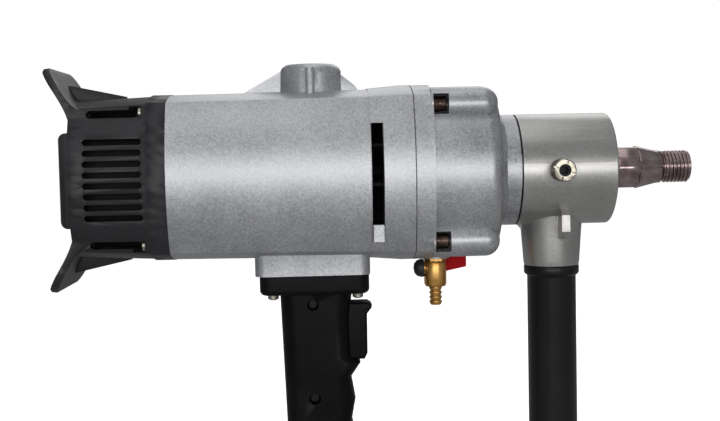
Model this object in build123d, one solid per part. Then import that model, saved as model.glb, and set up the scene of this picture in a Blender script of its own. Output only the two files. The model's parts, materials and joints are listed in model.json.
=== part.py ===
from build123d import *
import math
import os

# Hand-held wet diamond core drill. Millimetres. The origin is on the spindle axis at the
# root of the output thread. +X runs along the spindle towards the bit, +Z is up, and the
# pistol grip and the side handle hang towards -Z.

# Stations along the spindle axis, from the thread back to the rear stand.
THREAD_END = 18.5
THREAD_ROOT = 0.0
RELIEF_START = -1.5
CONE_START = -17.0
WRENCH_START = -32.0
COLLAR_FRONT = -39.2
NOSE_END = -43.5
COLLAR_REAR = -102.1
NECK_FRONT = -103.4
NECK_REAR = -112.0
SHOULDER = -116.6
FLANGE_FRONT = -161.7
CASE_REAR = -174.0
FAN_HOUSING_FRONT = -174.5
MOTOR_FRONT = -203.0
MOTOR_REAR = -333.0
RIM_REAR = -345.0
COVER_REAR = -395.0
BULGE_REAR = -402.0
FIN_TIP = -411.0

# Output thread, nose and collar.
THREAD_RADIUS = 11.0
SPINDLE_RADIUS = 14.0
JOURNAL_RADIUS = 12.5
WATER_BORE_RADIUS = 4.0
NOSE_RADIUS = 33.0
COLLAR_RADIUS = 37.75
NECK_RADIUS = 37.7
NOSE_BORE_RADIUS = 23.5
RUNNING = 0.05
SEATED = 0.02

# Half sizes of the squarish castings: corner y, corner z, middle of side, middle of top.
MOTOR_REAR_SECTION = (41.5, 48.5, 54.5, 55.2)
MOTOR_FRONT_SECTION = (43.0, 50.0, 56.0, 56.6)
FLANGE_SECTION = (43.5, 51.0, 57.0, 59.0)
CASE_SECTION = (34.0, 46.0, 55.0, 57.5)
WALL = 4.5

# Gear train: two spur stages with one centre distance, so motor and spindle share an axis.
PRESSURE_ANGLE = math.radians(20)
BACKLASH = 0.12
PROFILE_SHIFT = 0.3
MOTOR_PINION_TEETH = 10
LAYSHAFT_GEAR_TEETH = 44
FIRST_MODULE = 1.0
LAYSHAFT_PINION_TEETH = 11
SPINDLE_GEAR_TEETH = 25
SECOND_MODULE = 1.5
CENTRE_DISTANCE = (MOTOR_PINION_TEETH + LAYSHAFT_GEAR_TEETH) * FIRST_MODULE / 2
LAYSHAFT_RADIUS = 5.0
NEEDLE_RADIUS = 7.0

# Motor.
STATOR_REAR = -300.0
STATOR_FRONT = -242.0
STATOR_RADIUS = 47.9
STATOR_BORE = 28.5
ARMATURE_RADIUS = 27.8
SHAFT_RADIUS = 7.0
FAN_RADIUS = 46.0
COMMUTATOR_REAR = -345.0
COMMUTATOR_FRONT = -325.0
COMMUTATOR_RADIUS = 15.0
BRUSH_X = -335.0

# Fasteners.
CASE_BOLT_Y = 38.0
CASE_BOLT_Z = 44.5
COVER_SCREW_Y = 38.5
COVER_SCREW_Z = 42.0

# Top boss.
BOSS_X = -240.0
BOSS_TOP = 73.9
BOSS_RADIUS = 20.5
BOSS_HOLE_RADIUS = 5.1
BOSS_HOLE_DEPTH = 21.0

# Pistol grip.
SEAT_REAR = -279.5
SEAT_FRONT = -203.5
SEAT_HALF_WIDTH = 33.0
SEAT_BOTTOM = -66.0
GRIP_FLANGE_BOTTOM = -79.0
GRIP_TOP = -74.1
GRIP_BOTTOM = -205.0
GRIP_WALL = 3.0
TRIGGER_TOP = -87.5
TRIGGER_BOTTOM = -126.5
TRIGGER_FACE = -205.5
TRIGGER_HALF_WIDTH = 9.0
TRIGGER_TRAVEL = 6.0
PLUNGER_RADIUS = 3.0
PLUNGER_Z = -100.0
SWITCH_FRONT = -238.0
GLAND_X = -238.5

# Side handle.
HANDLE_X = -77.0
SOCKET_BOTTOM = -65.5
HANDLE_END = -205.0
HANDLE_GRIP_RADIUS = 16.6
LOCK_X = -77.5
LOCK_RADIUS = 4.0
LOCK_RING_RADIUS = 7.5
LOCK_TOP = 49.0

# Water supply.
VALVE_X = -157.5
VALVE_Z = -66.0
VALVE_TOP = -59.2
VALVE_BOTTOM = -78.6
VALVE_RADIUS = 7.65
BARB_END = -91.5
BARB_RADIUS = 4.35
GALLERY_Z = -30.0
GALLERY_RADIUS = 2.5
LANTERN_X = -106.0


def rod(x0, x1, radius, y=0.0, z=0.0):
    """Solid cylinder along X between two stations."""
    along_x = Align.CENTER, Align.CENTER, Align.MIN
    return Pos(x0, y, z) * Rot(0, 90, 0) * Cylinder(radius, x1 - x0, align=along_x)


def tube(x0, x1, outer, inner, y=0.0, z=0.0):
    """Hollow cylinder along X between two stations."""
    return rod(x0, x1, outer, y, z) - rod(x0, x1, inner, y, z)


def post(z0, z1, radius, x, y=0.0):
    """Solid cylinder along Z between two heights."""
    return Pos(x, y, z0) * Cylinder(radius, z1 - z0, align=(Align.CENTER, Align.CENTER, Align.MIN))


def cross_pin(y0, y1, radius, x, z):
    """Solid cylinder along Y between two depths."""
    upright = Cylinder(radius, y1 - y0, align=(Align.CENTER, Align.CENTER, Align.MIN))
    return Pos(x, y0, z) * Rot(-90, 0, 0) * upright


def block(x_range, y_range, z_range):
    """Box between three pairs of limits."""
    size = [high - low for low, high in (x_range, y_range, z_range)]
    return Pos(x_range[0], y_range[0], z_range[0]) * Box(*size, align=(Align.MIN, Align.MIN, Align.MIN))


def rounded_block(x_range, y_range, z_range, radius):
    """Box with its four upright edges rounded."""
    solid = block(x_range, y_range, z_range)
    return fillet(solid.edges().filter_by(Axis.Z), radius)


def turned(points):
    """Solid of revolution about the spindle axis from (x, radius) points."""
    return revolve(Plane.XZ * make_face(Polyline(*points, close=True)), Axis.X)


def turned_upright(points, x, y=0.0):
    """Solid of revolution about an upright axis from (radius, z) points."""
    return Pos(x, y, 0) * revolve(Plane.XZ * make_face(Polyline(*points, close=True)), Axis.Z)


def plate(points, half_width):
    """Plate lying in the XZ plane, of the given half thickness each way along Y."""
    return extrude(Plane.XZ * make_face(Polyline(*points, close=True)), half_width, both=True)


def squarish(section, corner):
    """Face with four bowed sides, the section shared by all the castings."""
    half_y, half_z, side, top = section
    edges = [
        ThreePointArc((half_y, -half_z), (side, 0), (half_y, half_z)),
        ThreePointArc((half_y, half_z), (0, top), (-half_y, half_z)),
        ThreePointArc((-half_y, half_z), (-side, 0), (-half_y, -half_z)),
        ThreePointArc((-half_y, -half_z), (0, -top), (half_y, -half_z)),
    ]
    face = make_face(edges)
    return fillet(face.vertices(), corner)


def inset(section, amount):
    """Squarish section moved inwards by a wall thickness."""
    return tuple(value - amount for value in section)


def prism(x0, x1, section, corner):
    """Straight squarish solid between two stations."""
    return extrude(Plane.YZ.offset(x0) * squarish(section, corner), x1 - x0)


def drafted(x0, x1, first, last, corner):
    """Squarish solid whose section changes evenly between two stations."""
    ends = [Plane.YZ.offset(x0) * squarish(first, corner), Plane.YZ.offset(x1) * squarish(last, corner)]
    return loft(ends, ruled=True)


def corners(y, z):
    """The four corner positions of a casting, as (y, z)."""
    return [(side * y, level * z) for side in (-1, 1) for level in (-1, 1)]


def sector(x0, x1, inner, outer, start, sweep):
    """Part of a tube about the motor axis; angles are degrees from +Y towards +Z."""
    wedge = [
        CenterArc((0, 0), outer, start, sweep),
        Line(polar(outer, start + sweep), polar(inner, start + sweep)),
        CenterArc((0, 0), inner, start + sweep, -sweep),
        Line(polar(inner, start), polar(outer, start)),
    ]
    return extrude(Plane.YZ.offset(x0) * make_face(wedge), x1 - x0)


def polar(radius, degrees):
    """Point at a radius and an angle in the plane."""
    return radius * math.cos(math.radians(degrees)), radius * math.sin(math.radians(degrees))


def involute(angle):
    """Involute function of a pressure angle."""
    return math.tan(angle) - angle


def gear(x0, x1, teeth, module, shift, first_tooth):
    """Spur gear about the X axis; first_tooth is one tooth's direction in degrees from +Y."""
    pitch = teeth * module / 2
    base = pitch * math.cos(PRESSURE_ANGLE)
    tip = pitch + module * (1 + shift)
    root = pitch - module * (1.25 - shift)
    at_pitch = (math.pi / 2 + 2 * shift * math.tan(PRESSURE_ANGLE)) / teeth - BACKLASH / (2 * pitch)
    at_base = at_pitch + involute(PRESSURE_ANGLE)
    flank = []
    for radius in (root, base, (base + pitch) / 2, pitch, (pitch + tip) / 2, tip):
        roll = involute(math.acos(base / radius)) if radius > base else 0.0
        flank.append((radius, math.degrees(at_base - roll)))
    points = []
    for index in range(teeth):
        middle = first_tooth + index * 360 / teeth
        points += [polar(radius, middle - half) for radius, half in flank]
        points += [polar(radius, middle + half) for radius, half in reversed(flank)]
    return extrude(Plane.YZ.offset(x0) * make_face(Polyline(*points, close=True)), x1 - x0)


def bearing(x0, width, inner, outer, balls, z=0.0):
    """Ball bearing as two rings and its balls, all separate solids."""
    race = 0.27 * (outer - inner)
    ball_radius = (outer - inner) / 2 - race - SEATED
    solids = [
        tube(x0, x0 + width, outer, outer - race, z=z),
        tube(x0, x0 + width, inner + race, inner, z=z),
    ]
    for index in range(balls):
        y, up = polar((inner + outer) / 2, index * 360 / balls)
        solids.append(Pos(x0 + width / 2, y, z + up) * Sphere(ball_radius))
    return Compound(children=solids)


def pan_screw_x(seat, y, z, head_radius, head_height, shank_radius, length):
    """Cross-recess pan screw with its head towards -X, bearing on the plane x = seat."""
    head = rod(seat - head_height, seat, head_radius, y, z)
    head = fillet(head.edges().sort_by(Axis.X)[0], head_height * 0.45)
    recess_x = (seat - head_height, seat - head_height * 0.45)
    arm = head_radius * 0.55
    slot = head_radius * 0.13
    head -= block(recess_x, (y - arm, y + arm), (z - slot, z + slot))
    head -= block(recess_x, (y - slot, y + slot), (z - arm, z + arm))
    return head + rod(seat, seat + length, shank_radius, y, z)


# ---------------------------------------------------------------- rear cover


def fin():
    """Upper stand fin: a flared plate across the cover, with its centre web."""
    rear = Spline((-394.0, 35.0), (-397.3, 45.0), (-403.2, 56.0), (FIN_TIP, 69.5))
    front = Spline((-408.0, 72.8), (-399.6, 58.0), (-392.5, 48.5), (-383.0, 43.0))
    edges = [
        rear,
        Line((FIN_TIP, 69.5), (FIN_TIP, 72.0)),
        Line((FIN_TIP, 72.0), (-408.0, 72.8)),
        front,
        Line((-383.0, 43.0), (-383.0, 35.0)),
        Line((-383.0, 35.0), (-394.0, 35.0)),
    ]
    shape = extrude(Plane.XZ * make_face(edges), 43.0, both=True)
    outline = fillet(Rectangle(86.0, 146.0).vertices(), 15.0)
    shape &= extrude(Plane.YZ.offset(-420.0) * outline, 60.0)
    web = plate([(-403.5, 63.5), (-364.0, 55.0), (-364.0, 48.0), (-392.0, 44.0)], 2.0)
    return shape + web


def rear_cover():
    """Moulded intake cover with its slots, flutes, screw channels and two stand fins."""
    rim = inset(MOTOR_REAR_SECTION, -0.3)
    front = inset(MOTOR_REAR_SECTION, 0.6)
    back = inset(MOTOR_REAR_SECTION, 2.8)
    outer = prism(RIM_REAR, MOTOR_REAR - SEATED, rim, 3.0) + drafted(COVER_REAR, RIM_REAR, back, front, 3.0)
    bulge = block((BULGE_REAR, -385.0), (-46.0, 46.0), (-30.5, 30.5))
    bulge = fillet(bulge.edges().group_by(Axis.X)[0], 6.0)
    flutes = [rod(-412.0, RIM_REAR - 2.0, 9.0, side * 59.5, level * 34.5) for side, level in corners(1, 1)]
    outer = outer + bulge - flutes
    screw_places = corners(COVER_SCREW_Y, COVER_SCREW_Z)
    lugs = [rod(-351.0, MOTOR_REAR - SEATED, 7.5, y, z) & outer for y, z in screw_places]
    cavity = drafted(COVER_REAR + 3.0, MOTOR_REAR, inset(back, 3.0), inset(front, 3.0), 4.0)
    cavity += block((BULGE_REAR + 3.0, -385.0), (-43.0, 43.0), (-27.5, 27.5))
    cover = outer - cavity + lugs
    cover += fin() + mirror(fin(), Plane.XY)
    slot_middle = (-385.4 - 348.0) / 2
    for row in range(8):
        slot = Pos(slot_middle, (row - 3.5) * 6.9) * SlotOverall(37.4, 4.0)
        cover -= extrude(Plane.XZ * slot, 70.0, both=True)
    for y, z in screw_places:
        slot = extrude(Plane.XZ * (Pos(-367.0, z) * SlotOverall(33.0, 5.0)), 70.0, both=True)
        side = math.copysign(1.0, y)
        cover -= slot & block((-390.0, -340.0), tuple(sorted((side * 32.0, side * 60.0))), (z - 5.0, z + 5.0))
        cover -= rod(-354.5, -351.0, 4.0, y, z)
        cover -= rod(-352.0, MOTOR_REAR, 2.1, y, z)
    return cover


def rear_cover_screws():
    """Four pan screws that hold the cover to the motor housing."""
    screw_places = corners(COVER_SCREW_Y, COVER_SCREW_Z)
    return Compound(children=[pan_screw_x(-351.0, y, z, 3.7, 2.8, 2.0, 30.0) for y, z in screw_places])


# ---------------------------------------------------------------- castings


def motor_housing():
    """Ribbed motor casting with the top boss and the seat for the pistol grip."""
    body = drafted(MOTOR_REAR, MOTOR_FRONT, MOTOR_REAR_SECTION, MOTOR_FRONT_SECTION, 2.0)
    seat_width = (-SEAT_HALF_WIDTH, SEAT_HALF_WIDTH)
    seat = rounded_block((SEAT_REAR, SEAT_FRONT), seat_width, (SEAT_BOTTOM, -40.0), 7.0)
    foot = [(0, 45.0), (BOSS_RADIUS + 0.8, 45.0), (BOSS_RADIUS, 69.6)]
    boss = turned_upright(foot + [(19.3, 72.0), (16.6, BOSS_TOP), (0, BOSS_TOP)], BOSS_X)
    rear_web = plate([(-292.0, 52.0), (-257.0, 71.5), (-240.0, 71.5), (-240.0, 52.0)], 4.0)
    front_web = plate([(-244.0, 52.0), (-244.0, 71.0), (-223.0, 69.6), (-210.0, 59.5), (-206.0, 52.0)], 4.0)
    side_rib = block((-243.5, -237.5), (-25.5, -12.0), (48.0, 70.9))
    side_rib = fillet(side_rib.edges().filter_by(Axis.Z).group_by(Axis.Y)[0], 2.6)
    outer = body + seat + boss + rear_web + front_web + side_rib + mirror(side_rib, Plane.XZ)
    cavity = prism(MOTOR_REAR, MOTOR_FRONT, inset(MOTOR_REAR_SECTION, WALL), 6.0)
    for y, z in corners(1, 1):
        bar = Rot(y * z * math.degrees(math.atan2(CASE_BOLT_Z, CASE_BOLT_Y)), 0, 0)
        reach = (30.0, 80.0) if y > 0 else (-80.0, -30.0)
        cavity -= bar * block((MOTOR_REAR, MOTOR_FRONT), reach, (-9.0, 9.0))
    cavity += rod(MOTOR_REAR, MOTOR_FRONT, STATOR_RADIUS + SEATED)
    housing = outer - cavity
    housing -= post(BOSS_TOP - BOSS_HOLE_DEPTH, BOSS_TOP, BOSS_HOLE_RADIUS, BOSS_X)
    housing -= post(SEAT_BOTTOM, -40.0, 8.0, -240.0)
    for y, z in corners(CASE_BOLT_Y, CASE_BOLT_Z):
        housing -= rod(-222.0, MOTOR_FRONT, 3.0 + SEATED, y, z)
    for y, z in corners(COVER_SCREW_Y, COVER_SCREW_Z):
        housing -= rod(MOTOR_REAR, -318.0, 2.0 + SEATED, y, z)
    for x, y in grip_screw_places():
        housing -= post(SEAT_BOTTOM, -52.0, 2.5 + SEATED, x, y)
    return housing


def fan_housing():
    """Intermediate casting: fan chamber with side exhausts, and the bearing bulkhead."""
    rear = (43.0, 50.0, 56.0, 57.2)
    outer = drafted(MOTOR_FRONT + SEATED, -182.0, rear, FLANGE_SECTION, 2.0)
    outer += prism(-182.0, FAN_HOUSING_FRONT, FLANGE_SECTION, 2.0)
    housing = outer - rod(MOTOR_FRONT, -188.0, 49.0)
    housing -= rod(-190.0, -186.0, 9.0)
    housing -= rod(-186.0, FAN_HOUSING_FRONT, 17.5 + SEATED)
    housing -= rod(-186.5, FAN_HOUSING_FRONT, NEEDLE_RADIUS + SEATED, z=CENTRE_DISTANCE)
    exhaust = extrude(Plane.XZ * (Pos(-198.5, -5.0) * Rectangle(7.8, 76.0)), 70.0, both=True)
    housing -= exhaust & block((-203.0, -194.0), (-70.0, 70.0), (-60.0, 60.0))
    for y, z in corners(CASE_BOLT_Y, CASE_BOLT_Z):
        housing -= rod(MOTOR_FRONT, FAN_HOUSING_FRONT, 3.2, y, z)
    return housing


def case_gasket():
    """Paper gasket between the fan housing and the gear case."""
    sheet = prism(FAN_HOUSING_FRONT + SEATED, CASE_REAR - SEATED, inset(FLANGE_SECTION, 0.4), 2.0)
    sheet -= prism(FAN_HOUSING_FRONT, CASE_REAR, (31.0, 42.0, 50.0, 52.5), 8.0)
    for y, z in corners(CASE_BOLT_Y, CASE_BOLT_Z):
        sheet -= rod(FAN_HOUSING_FRONT, CASE_REAR, 3.2, y, z)
    return sheet


def gear_case():
    """Gear casting: flange, corner bosses, shoulder, neck and the nose for the collar."""
    flange = prism(CASE_REAR, FLANGE_FRONT, FLANGE_SECTION, 2.0)
    rear = FLANGE_FRONT - 1.0
    body = prism(rear, SHOULDER, CASE_SECTION, 10.0)
    body = fillet(body.edges().group_by(Axis.X)[-1], 9.4)
    case = flange + body
    for y, z in corners(CASE_BOLT_Y - 1.0, CASE_BOLT_Z):
        boss = rod(rear, -118.8, 10.5, y, z)
        case += fillet(boss.edges().sort_by(Axis.X)[-1], 9.9)
    rise = [(SHOULDER - 1.0, 0), (SHOULDER - 1.0, 41.5), (SHOULDER, 41.0), (NECK_REAR, NECK_RADIUS)]
    case += turned(rise + [(NECK_FRONT, NECK_RADIUS), (NECK_FRONT, 0)])
    pad = block((NECK_REAR - 1.0, NECK_FRONT), (-39.0, 39.0), (-12.5, 12.5))
    case += fillet(pad.edges().filter_by(Axis.Y), 2.0) & rod(-118.0, NECK_FRONT, 38.8)
    case += rod(NECK_FRONT - 1.0, NOSE_END, NOSE_RADIUS)
    case += post(VALVE_TOP, -50.0, 10.0, VALVE_X)
    case -= prism(CASE_REAR, -137.5, (31.0, 42.0, 50.0, 52.5), 8.0)
    case -= rod(-138.0, -128.5, 17.0)
    case -= rod(-128.5, NOSE_END, NOSE_BORE_RADIUS + SEATED)
    case -= rod(-137.5, -129.0, NEEDLE_RADIUS + SEATED, z=CENTRE_DISTANCE)
    groove = rod(LOCK_X - 4.3, LOCK_X + 4.3, NOSE_RADIUS + 1.0) - rod(LOCK_X - 4.3, LOCK_X + 4.3, 31.5)
    case -= groove
    case -= rod(-138.0, LANTERN_X + GALLERY_RADIUS, GALLERY_RADIUS, z=GALLERY_Z)
    case -= rod(-138.0, -132.0, 3.0 + SEATED, z=GALLERY_Z)
    case -= post(GALLERY_Z, -20.0, GALLERY_RADIUS, LANTERN_X)
    case -= post(VALVE_TOP, -48.0, 5.0 + SEATED, VALVE_X)
    for y, z in corners(CASE_BOLT_Y, CASE_BOLT_Z):
        side = math.copysign(1.0, y)
        reach = tuple(sorted((y, side * 60.0)))
        case -= rod(FLANGE_FRONT, -151.6, 6.6, y, z)
        case -= block((FLANGE_FRONT, -151.6), reach, (z - 6.6, z + 6.6))
        case -= rod(-152.0, -120.0, 3.0, y, z)
        case -= rod(CASE_REAR, FLANGE_FRONT, 3.2, y, z)
    for y, z in retainer_screw_places():
        case -= rod(-54.0, NOSE_END, 1.5 + SEATED, y, z)
    return case


def gear_case_bolts():
    """Four socket head bolts through to the motor housing, with flat and spring washers."""
    bolts = []
    for y, z in corners(CASE_BOLT_Y, CASE_BOLT_Z):
        head = rod(-158.6, -152.6, 5.0, y, z)
        head = chamfer(head.edges().sort_by(Axis.X)[-1], 0.5)
        socket = extrude(Plane.YZ.offset(-155.8) * (Pos(y, z) * RegularPolygon(2.9, 6)), 4.0)
        bolts.append(head - socket + rod(-220.0, -158.6, 3.0, y, z))
        bolts.append(tube(FLANGE_FRONT + SEATED, -160.2, 6.0, 3.15, y, z))
        spring = tube(-160.18, -158.62, 5.2, 3.15, y, z)
        bolts.append(spring - block((-161.0, -158.0), (y - 0.4, y + 0.4), (z, z + 6.0)))
    return Compound(children=bolts)


# ---------------------------------------------------------------- motor


def rear_bearing_bracket():
    """Spider that carries the rear bearing inside the cover."""
    bracket = tube(-373.0, -361.0, 20.0, 15.0 + SEATED)
    bracket += tube(-337.0, MOTOR_REAR - SEATED, 47.0, 44.6)
    for index in range(4):
        turn = Rot(45.0 + index * 90.0, 0, 0)
        bracket += turn * block((-369.0, -363.0), (18.0, 46.5), (-5.0, 5.0))
        bracket += turn * block((-369.0, MOTOR_REAR - SEATED), (40.0, 46.5), (-5.0, 5.0))
    return bracket


def brush_plate():
    """Insulating plate that carries the two brush holders."""
    return tube(-329.5, -326.5, 47.0, 17.0)


def brush_holder(level):
    """Square brass guide for one brush; level is +1 above the axis and -1 below it."""
    heights = tuple(sorted((level * 17.5, level * 44.0)))
    hollow = tuple(sorted((level * 17.0, level * 42.0)))
    guide = block((BRUSH_X - 5.1, -329.5 - SEATED), (-4.7, 4.7), heights)
    return guide - block((BRUSH_X - 4.1, BRUSH_X + 4.1), (-3.6, 3.6), hollow)


def carbon_brush(level):
    """Carbon block that rides on the commutator."""
    heights = tuple(sorted((level * (COMMUTATOR_RADIUS + 0.3), level * 30.0)))
    return block((BRUSH_X - 4.0, BRUSH_X + 4.0), (-3.5, 3.5), heights)


def brush_spring(level):
    """Spring behind a brush, as a sleeve of its outer size."""
    heights = sorted((level * 30.1, level * 41.9))
    return post(heights[0], heights[1], 3.2, BRUSH_X) - post(heights[0], heights[1], 2.4, BRUSH_X)


def stator_core():
    """Laminated stator ring with slots for the two field coils."""
    core = tube(STATOR_REAR, STATOR_FRONT, STATOR_RADIUS, STATOR_BORE)
    for start in (23.0, 133.0, 203.0, 313.0):
        core -= sector(STATOR_REAR, STATOR_FRONT, 30.5, 43.5, start, 24.0)
    return core


def field_coils():
    """Two saddle coils, one round each pole."""
    coils = []
    for middle in (90.0, 270.0):
        coil = sector(STATOR_REAR - 9.0, STATOR_FRONT + 9.0, 31.0, 43.0, middle - 66.0, 132.0)
        window = sector(STATOR_REAR - 1.0, STATOR_FRONT + 1.0, 20.0, 46.0, middle - 44.0, 88.0)
        coils.append(coil - window)
    return Compound(children=coils)


def armature_shaft():
    """Motor shaft with its journals and the cut motor pinion."""
    shaft = rod(-374.0, -361.0, 5.0) + rod(-361.0, -346.0, 6.0) + rod(-346.0, -190.0, SHAFT_RADIUS)
    shaft += rod(-190.0, -174.0, 7.5)
    shaft += gear(-174.0, -161.0, MOTOR_PINION_TEETH, FIRST_MODULE, PROFILE_SHIFT, 90.0)
    return shaft


def armature_core():
    """Slotted lamination stack on the motor shaft."""
    core = tube(STATOR_REAR, STATOR_FRONT, ARMATURE_RADIUS, SHAFT_RADIUS + SEATED)
    for index in range(12):
        core -= Rot(index * 30.0, 0, 0) * block((STATOR_REAR, STATOR_FRONT), (-1.5, 1.5), (15.0, 30.0))
    return core


def armature_windings():
    """Windings in the twelve slots, joined by the end turns."""
    windings = tube(STATOR_REAR - 11.0, STATOR_REAR - 0.5, 24.5, 9.0)
    windings += tube(STATOR_FRONT + 0.5, STATOR_FRONT + 11.0, 24.5, 9.0)
    for index in range(12):
        bar = block((STATOR_REAR - 2.0, STATOR_FRONT + 2.0), (-1.3, 1.3), (15.5, 24.0))
        windings += Rot(index * 30.0, 0, 0) * bar
    return windings


def commutator():
    """Copper commutator with the grooves between its bars."""
    ring = tube(COMMUTATOR_REAR, COMMUTATOR_FRONT, COMMUTATOR_RADIUS, SHAFT_RADIUS + SEATED)
    for index in range(24):
        groove = block((COMMUTATOR_REAR, COMMUTATOR_FRONT), (-0.25, 0.25), (14.2, 16.0))
        ring -= Rot(index * 15.0, 0, 0) * groove
    return ring


def cooling_fan():
    """Radial fan behind the exhaust slots."""
    fan = tube(-213.0, -192.0, 13.0, SHAFT_RADIUS + SEATED) + tube(-213.0, -211.0, FAN_RADIUS, 12.0)
    for index in range(11):
        blade = block((-212.0, -192.0), (-1.0, 1.0), (12.0, FAN_RADIUS - 0.5))
        fan += Rot(index * 360.0 / 11, 0, 0) * blade
    return fan


def fan_baffle():
    """Plate that makes the cooling air enter the fan at its middle."""
    return tube(-219.0, -216.0, STATOR_RADIUS, 30.0)


def armature_bearings():
    """Ball bearings at both ends of the motor shaft."""
    rear = bearing(-372.0, 9.0, 5.0 + SEATED, 15.0, 7)
    front = bearing(-185.9, 11.0, 7.5 + SEATED, 17.5, 8)
    return Compound(children=list(rear.solids()) + list(front.solids()))


# ---------------------------------------------------------------- gear train


def layshaft():
    """Intermediate shaft with the cut second-stage pinion."""
    shaft = rod(-185.5, -129.5, LAYSHAFT_RADIUS) + rod(-173.0, -161.5, 7.0)
    gap_down = -90.0 + 180.0 / LAYSHAFT_PINION_TEETH
    shaft += gear(-152.5, -138.5, LAYSHAFT_PINION_TEETH, SECOND_MODULE, PROFILE_SHIFT, gap_down)
    return Pos(0, 0, CENTRE_DISTANCE) * shaft


def layshaft_gear():
    """First-stage wheel on the intermediate shaft."""
    gap_down = -90.0 + 180.0 / LAYSHAFT_GEAR_TEETH
    wheel = gear(-172.0, -162.5, LAYSHAFT_GEAR_TEETH, FIRST_MODULE, -PROFILE_SHIFT, gap_down)
    return Pos(0, 0, CENTRE_DISTANCE) * (wheel - rod(-173.0, -162.0, 7.0 + SEATED))


def spindle():
    """Output spindle: clutch seat, journals, wrench hexagon, cone, thread and water bore."""
    shaft = turned(
        [
            (-159.6, 0),
            (-159.6, 12.0),
            (-137.6, 12.0),
            (-137.6, 16.0),
            (-128.5, 16.0),
            (-128.5, JOURNAL_RADIUS),
            (NOSE_END + 0.2, JOURNAL_RADIUS),
            (NOSE_END + 0.2, SPINDLE_RADIUS),
            (WRENCH_START - 3.0, SPINDLE_RADIUS),
            (WRENCH_START, 15.3),
            (-20.5, 15.3),
            (CONE_START, 14.3),
            (-5.0, 11.4),
            (RELIEF_START, 11.0),
            (RELIEF_START, 9.7),
            (THREAD_ROOT, 9.7),
            (THREAD_ROOT, THREAD_RADIUS),
            (THREAD_END - 1.2, THREAD_RADIUS),
            (THREAD_END, THREAD_RADIUS - 1.2),
            (THREAD_END, 0),
        ]
    )
    hexagon = extrude(Plane.YZ.offset(WRENCH_START - 1.0) * RegularPolygon(13.7, 6, major_radius=False), 15.0)
    flats = rod(WRENCH_START - 1.0, CONE_START + 3.0, 20.0) - hexagon
    shaft -= flats & rod(WRENCH_START - 1.0, CONE_START - 1.0, 20.0)
    shaft -= rod(LANTERN_X - 4.0, THREAD_END, WATER_BORE_RADIUS)
    shaft -= post(-20.0, 20.0, 2.0, LANTERN_X)
    shaft -= cross_pin(-20.0, 20.0, 2.0, LANTERN_X, 0)
    return shaft


def spindle_gear():
    """Second-stage wheel that drives the spindle through the slip clutch."""
    wheel = gear(-151.3, -139.3, SPINDLE_GEAR_TEETH, SECOND_MODULE, -PROFILE_SHIFT, 90.0)
    return wheel - rod(-152.0, -139.0, 12.0 + SEATED)


def clutch_discs():
    """Friction discs on both sides of the spindle wheel."""
    places = ((-153.0, -151.32), (-139.28, -137.62))
    return Compound(children=[tube(x0, x1, 15.8, 12.0 + SEATED) for x0, x1 in places])


def clutch_spring():
    """Disc spring that loads the clutch."""
    return turned([(-154.6, 12.02), (-154.6, 13.2), (-153.05, 16.0), (-153.05, 14.4), (-154.0, 12.02)])


def clutch_nut():
    """Ring nut that sets the clutch load."""
    nut = extrude(Plane.YZ.offset(-159.4) * RegularPolygon(16.5, 6), 4.7)
    return nut - rod(-160.0, -154.0, 12.0 + SEATED)


def layshaft_bearings():
    """Needle bearings at both ends of the intermediate shaft."""
    places = ((-186.0, -176.0), (-137.0, -129.0))
    inner = LAYSHAFT_RADIUS + RUNNING
    return Compound(children=[tube(x0, x1, NEEDLE_RADIUS, inner, z=CENTRE_DISTANCE) for x0, x1 in places])


def spindle_bearings():
    """Two ball bearings of the spindle."""
    inner = JOURNAL_RADIUS + SEATED
    rear = bearing(-128.45, 12.0, inner, NOSE_BORE_RADIUS, 9)
    front = bearing(-63.0, 12.0, inner, NOSE_BORE_RADIUS, 9)
    return Compound(children=list(rear.solids()) + list(front.solids()))


def shaft_seals():
    """Rubber lip seals: two beside the water ring and one behind the retainer."""
    places = ((-116.0, -111.0), (-101.0, -95.0), (-50.5, -43.6))
    return Compound(children=[tube(x0, x1, NOSE_BORE_RADIUS, JOURNAL_RADIUS + RUNNING) for x0, x1 in places])


def water_ring():
    """Drilled brass ring that leads water into the spindle."""
    ring = tube(-110.9, -101.1, NOSE_BORE_RADIUS, 15.0)
    groove = rod(LANTERN_X - 2.5, LANTERN_X + 2.5, 24.0) - rod(LANTERN_X - 2.5, LANTERN_X + 2.5, 21.5)
    ring -= groove
    ring -= post(-24.0, 24.0, 2.5, LANTERN_X)
    return ring - cross_pin(-24.0, 24.0, 2.5, LANTERN_X, 0)


def retainer_screw_places():
    """The four screws of the seal retainer, as (y, z)."""
    return [polar(28.0, 45.0 + index * 90.0) for index in range(4)]


def seal_retainer():
    """Front plate that closes the nose."""
    plate_ring = tube(NOSE_END + SEATED, -40.8, 32.0, SPINDLE_RADIUS + 0.4)
    for y, z in retainer_screw_places():
        plate_ring -= rod(NOSE_END, -40.0, 1.6, y, z)
        plate_ring -= turned_screw_sink(y, z)
    return plate_ring


def turned_screw_sink(y, z):
    """Countersink for one retainer screw."""
    return Pos(0, y, z) * turned([(-42.6, 0), (-42.6, 1.6), (-40.7, 3.3), (-40.7, 0)])


def retainer_screws():
    """Four countersunk screws of the seal retainer."""
    screws = []
    for y, z in retainer_screw_places():
        head = Pos(0, y, z) * turned([(-42.5, 0), (-42.5, 1.5), (-40.9, 3.0), (-40.9, 0)])
        screws.append(head + rod(-53.0, -42.4, 1.5, y, z))
    return Compound(children=screws)


def neck_ring():
    """Black friction ring between the neck and the collar."""
    return tube(NECK_FRONT + SEATED, COLLAR_REAR - 0.3, 37.0, NOSE_RADIUS + SEATED)


# ---------------------------------------------------------------- water supply


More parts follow.
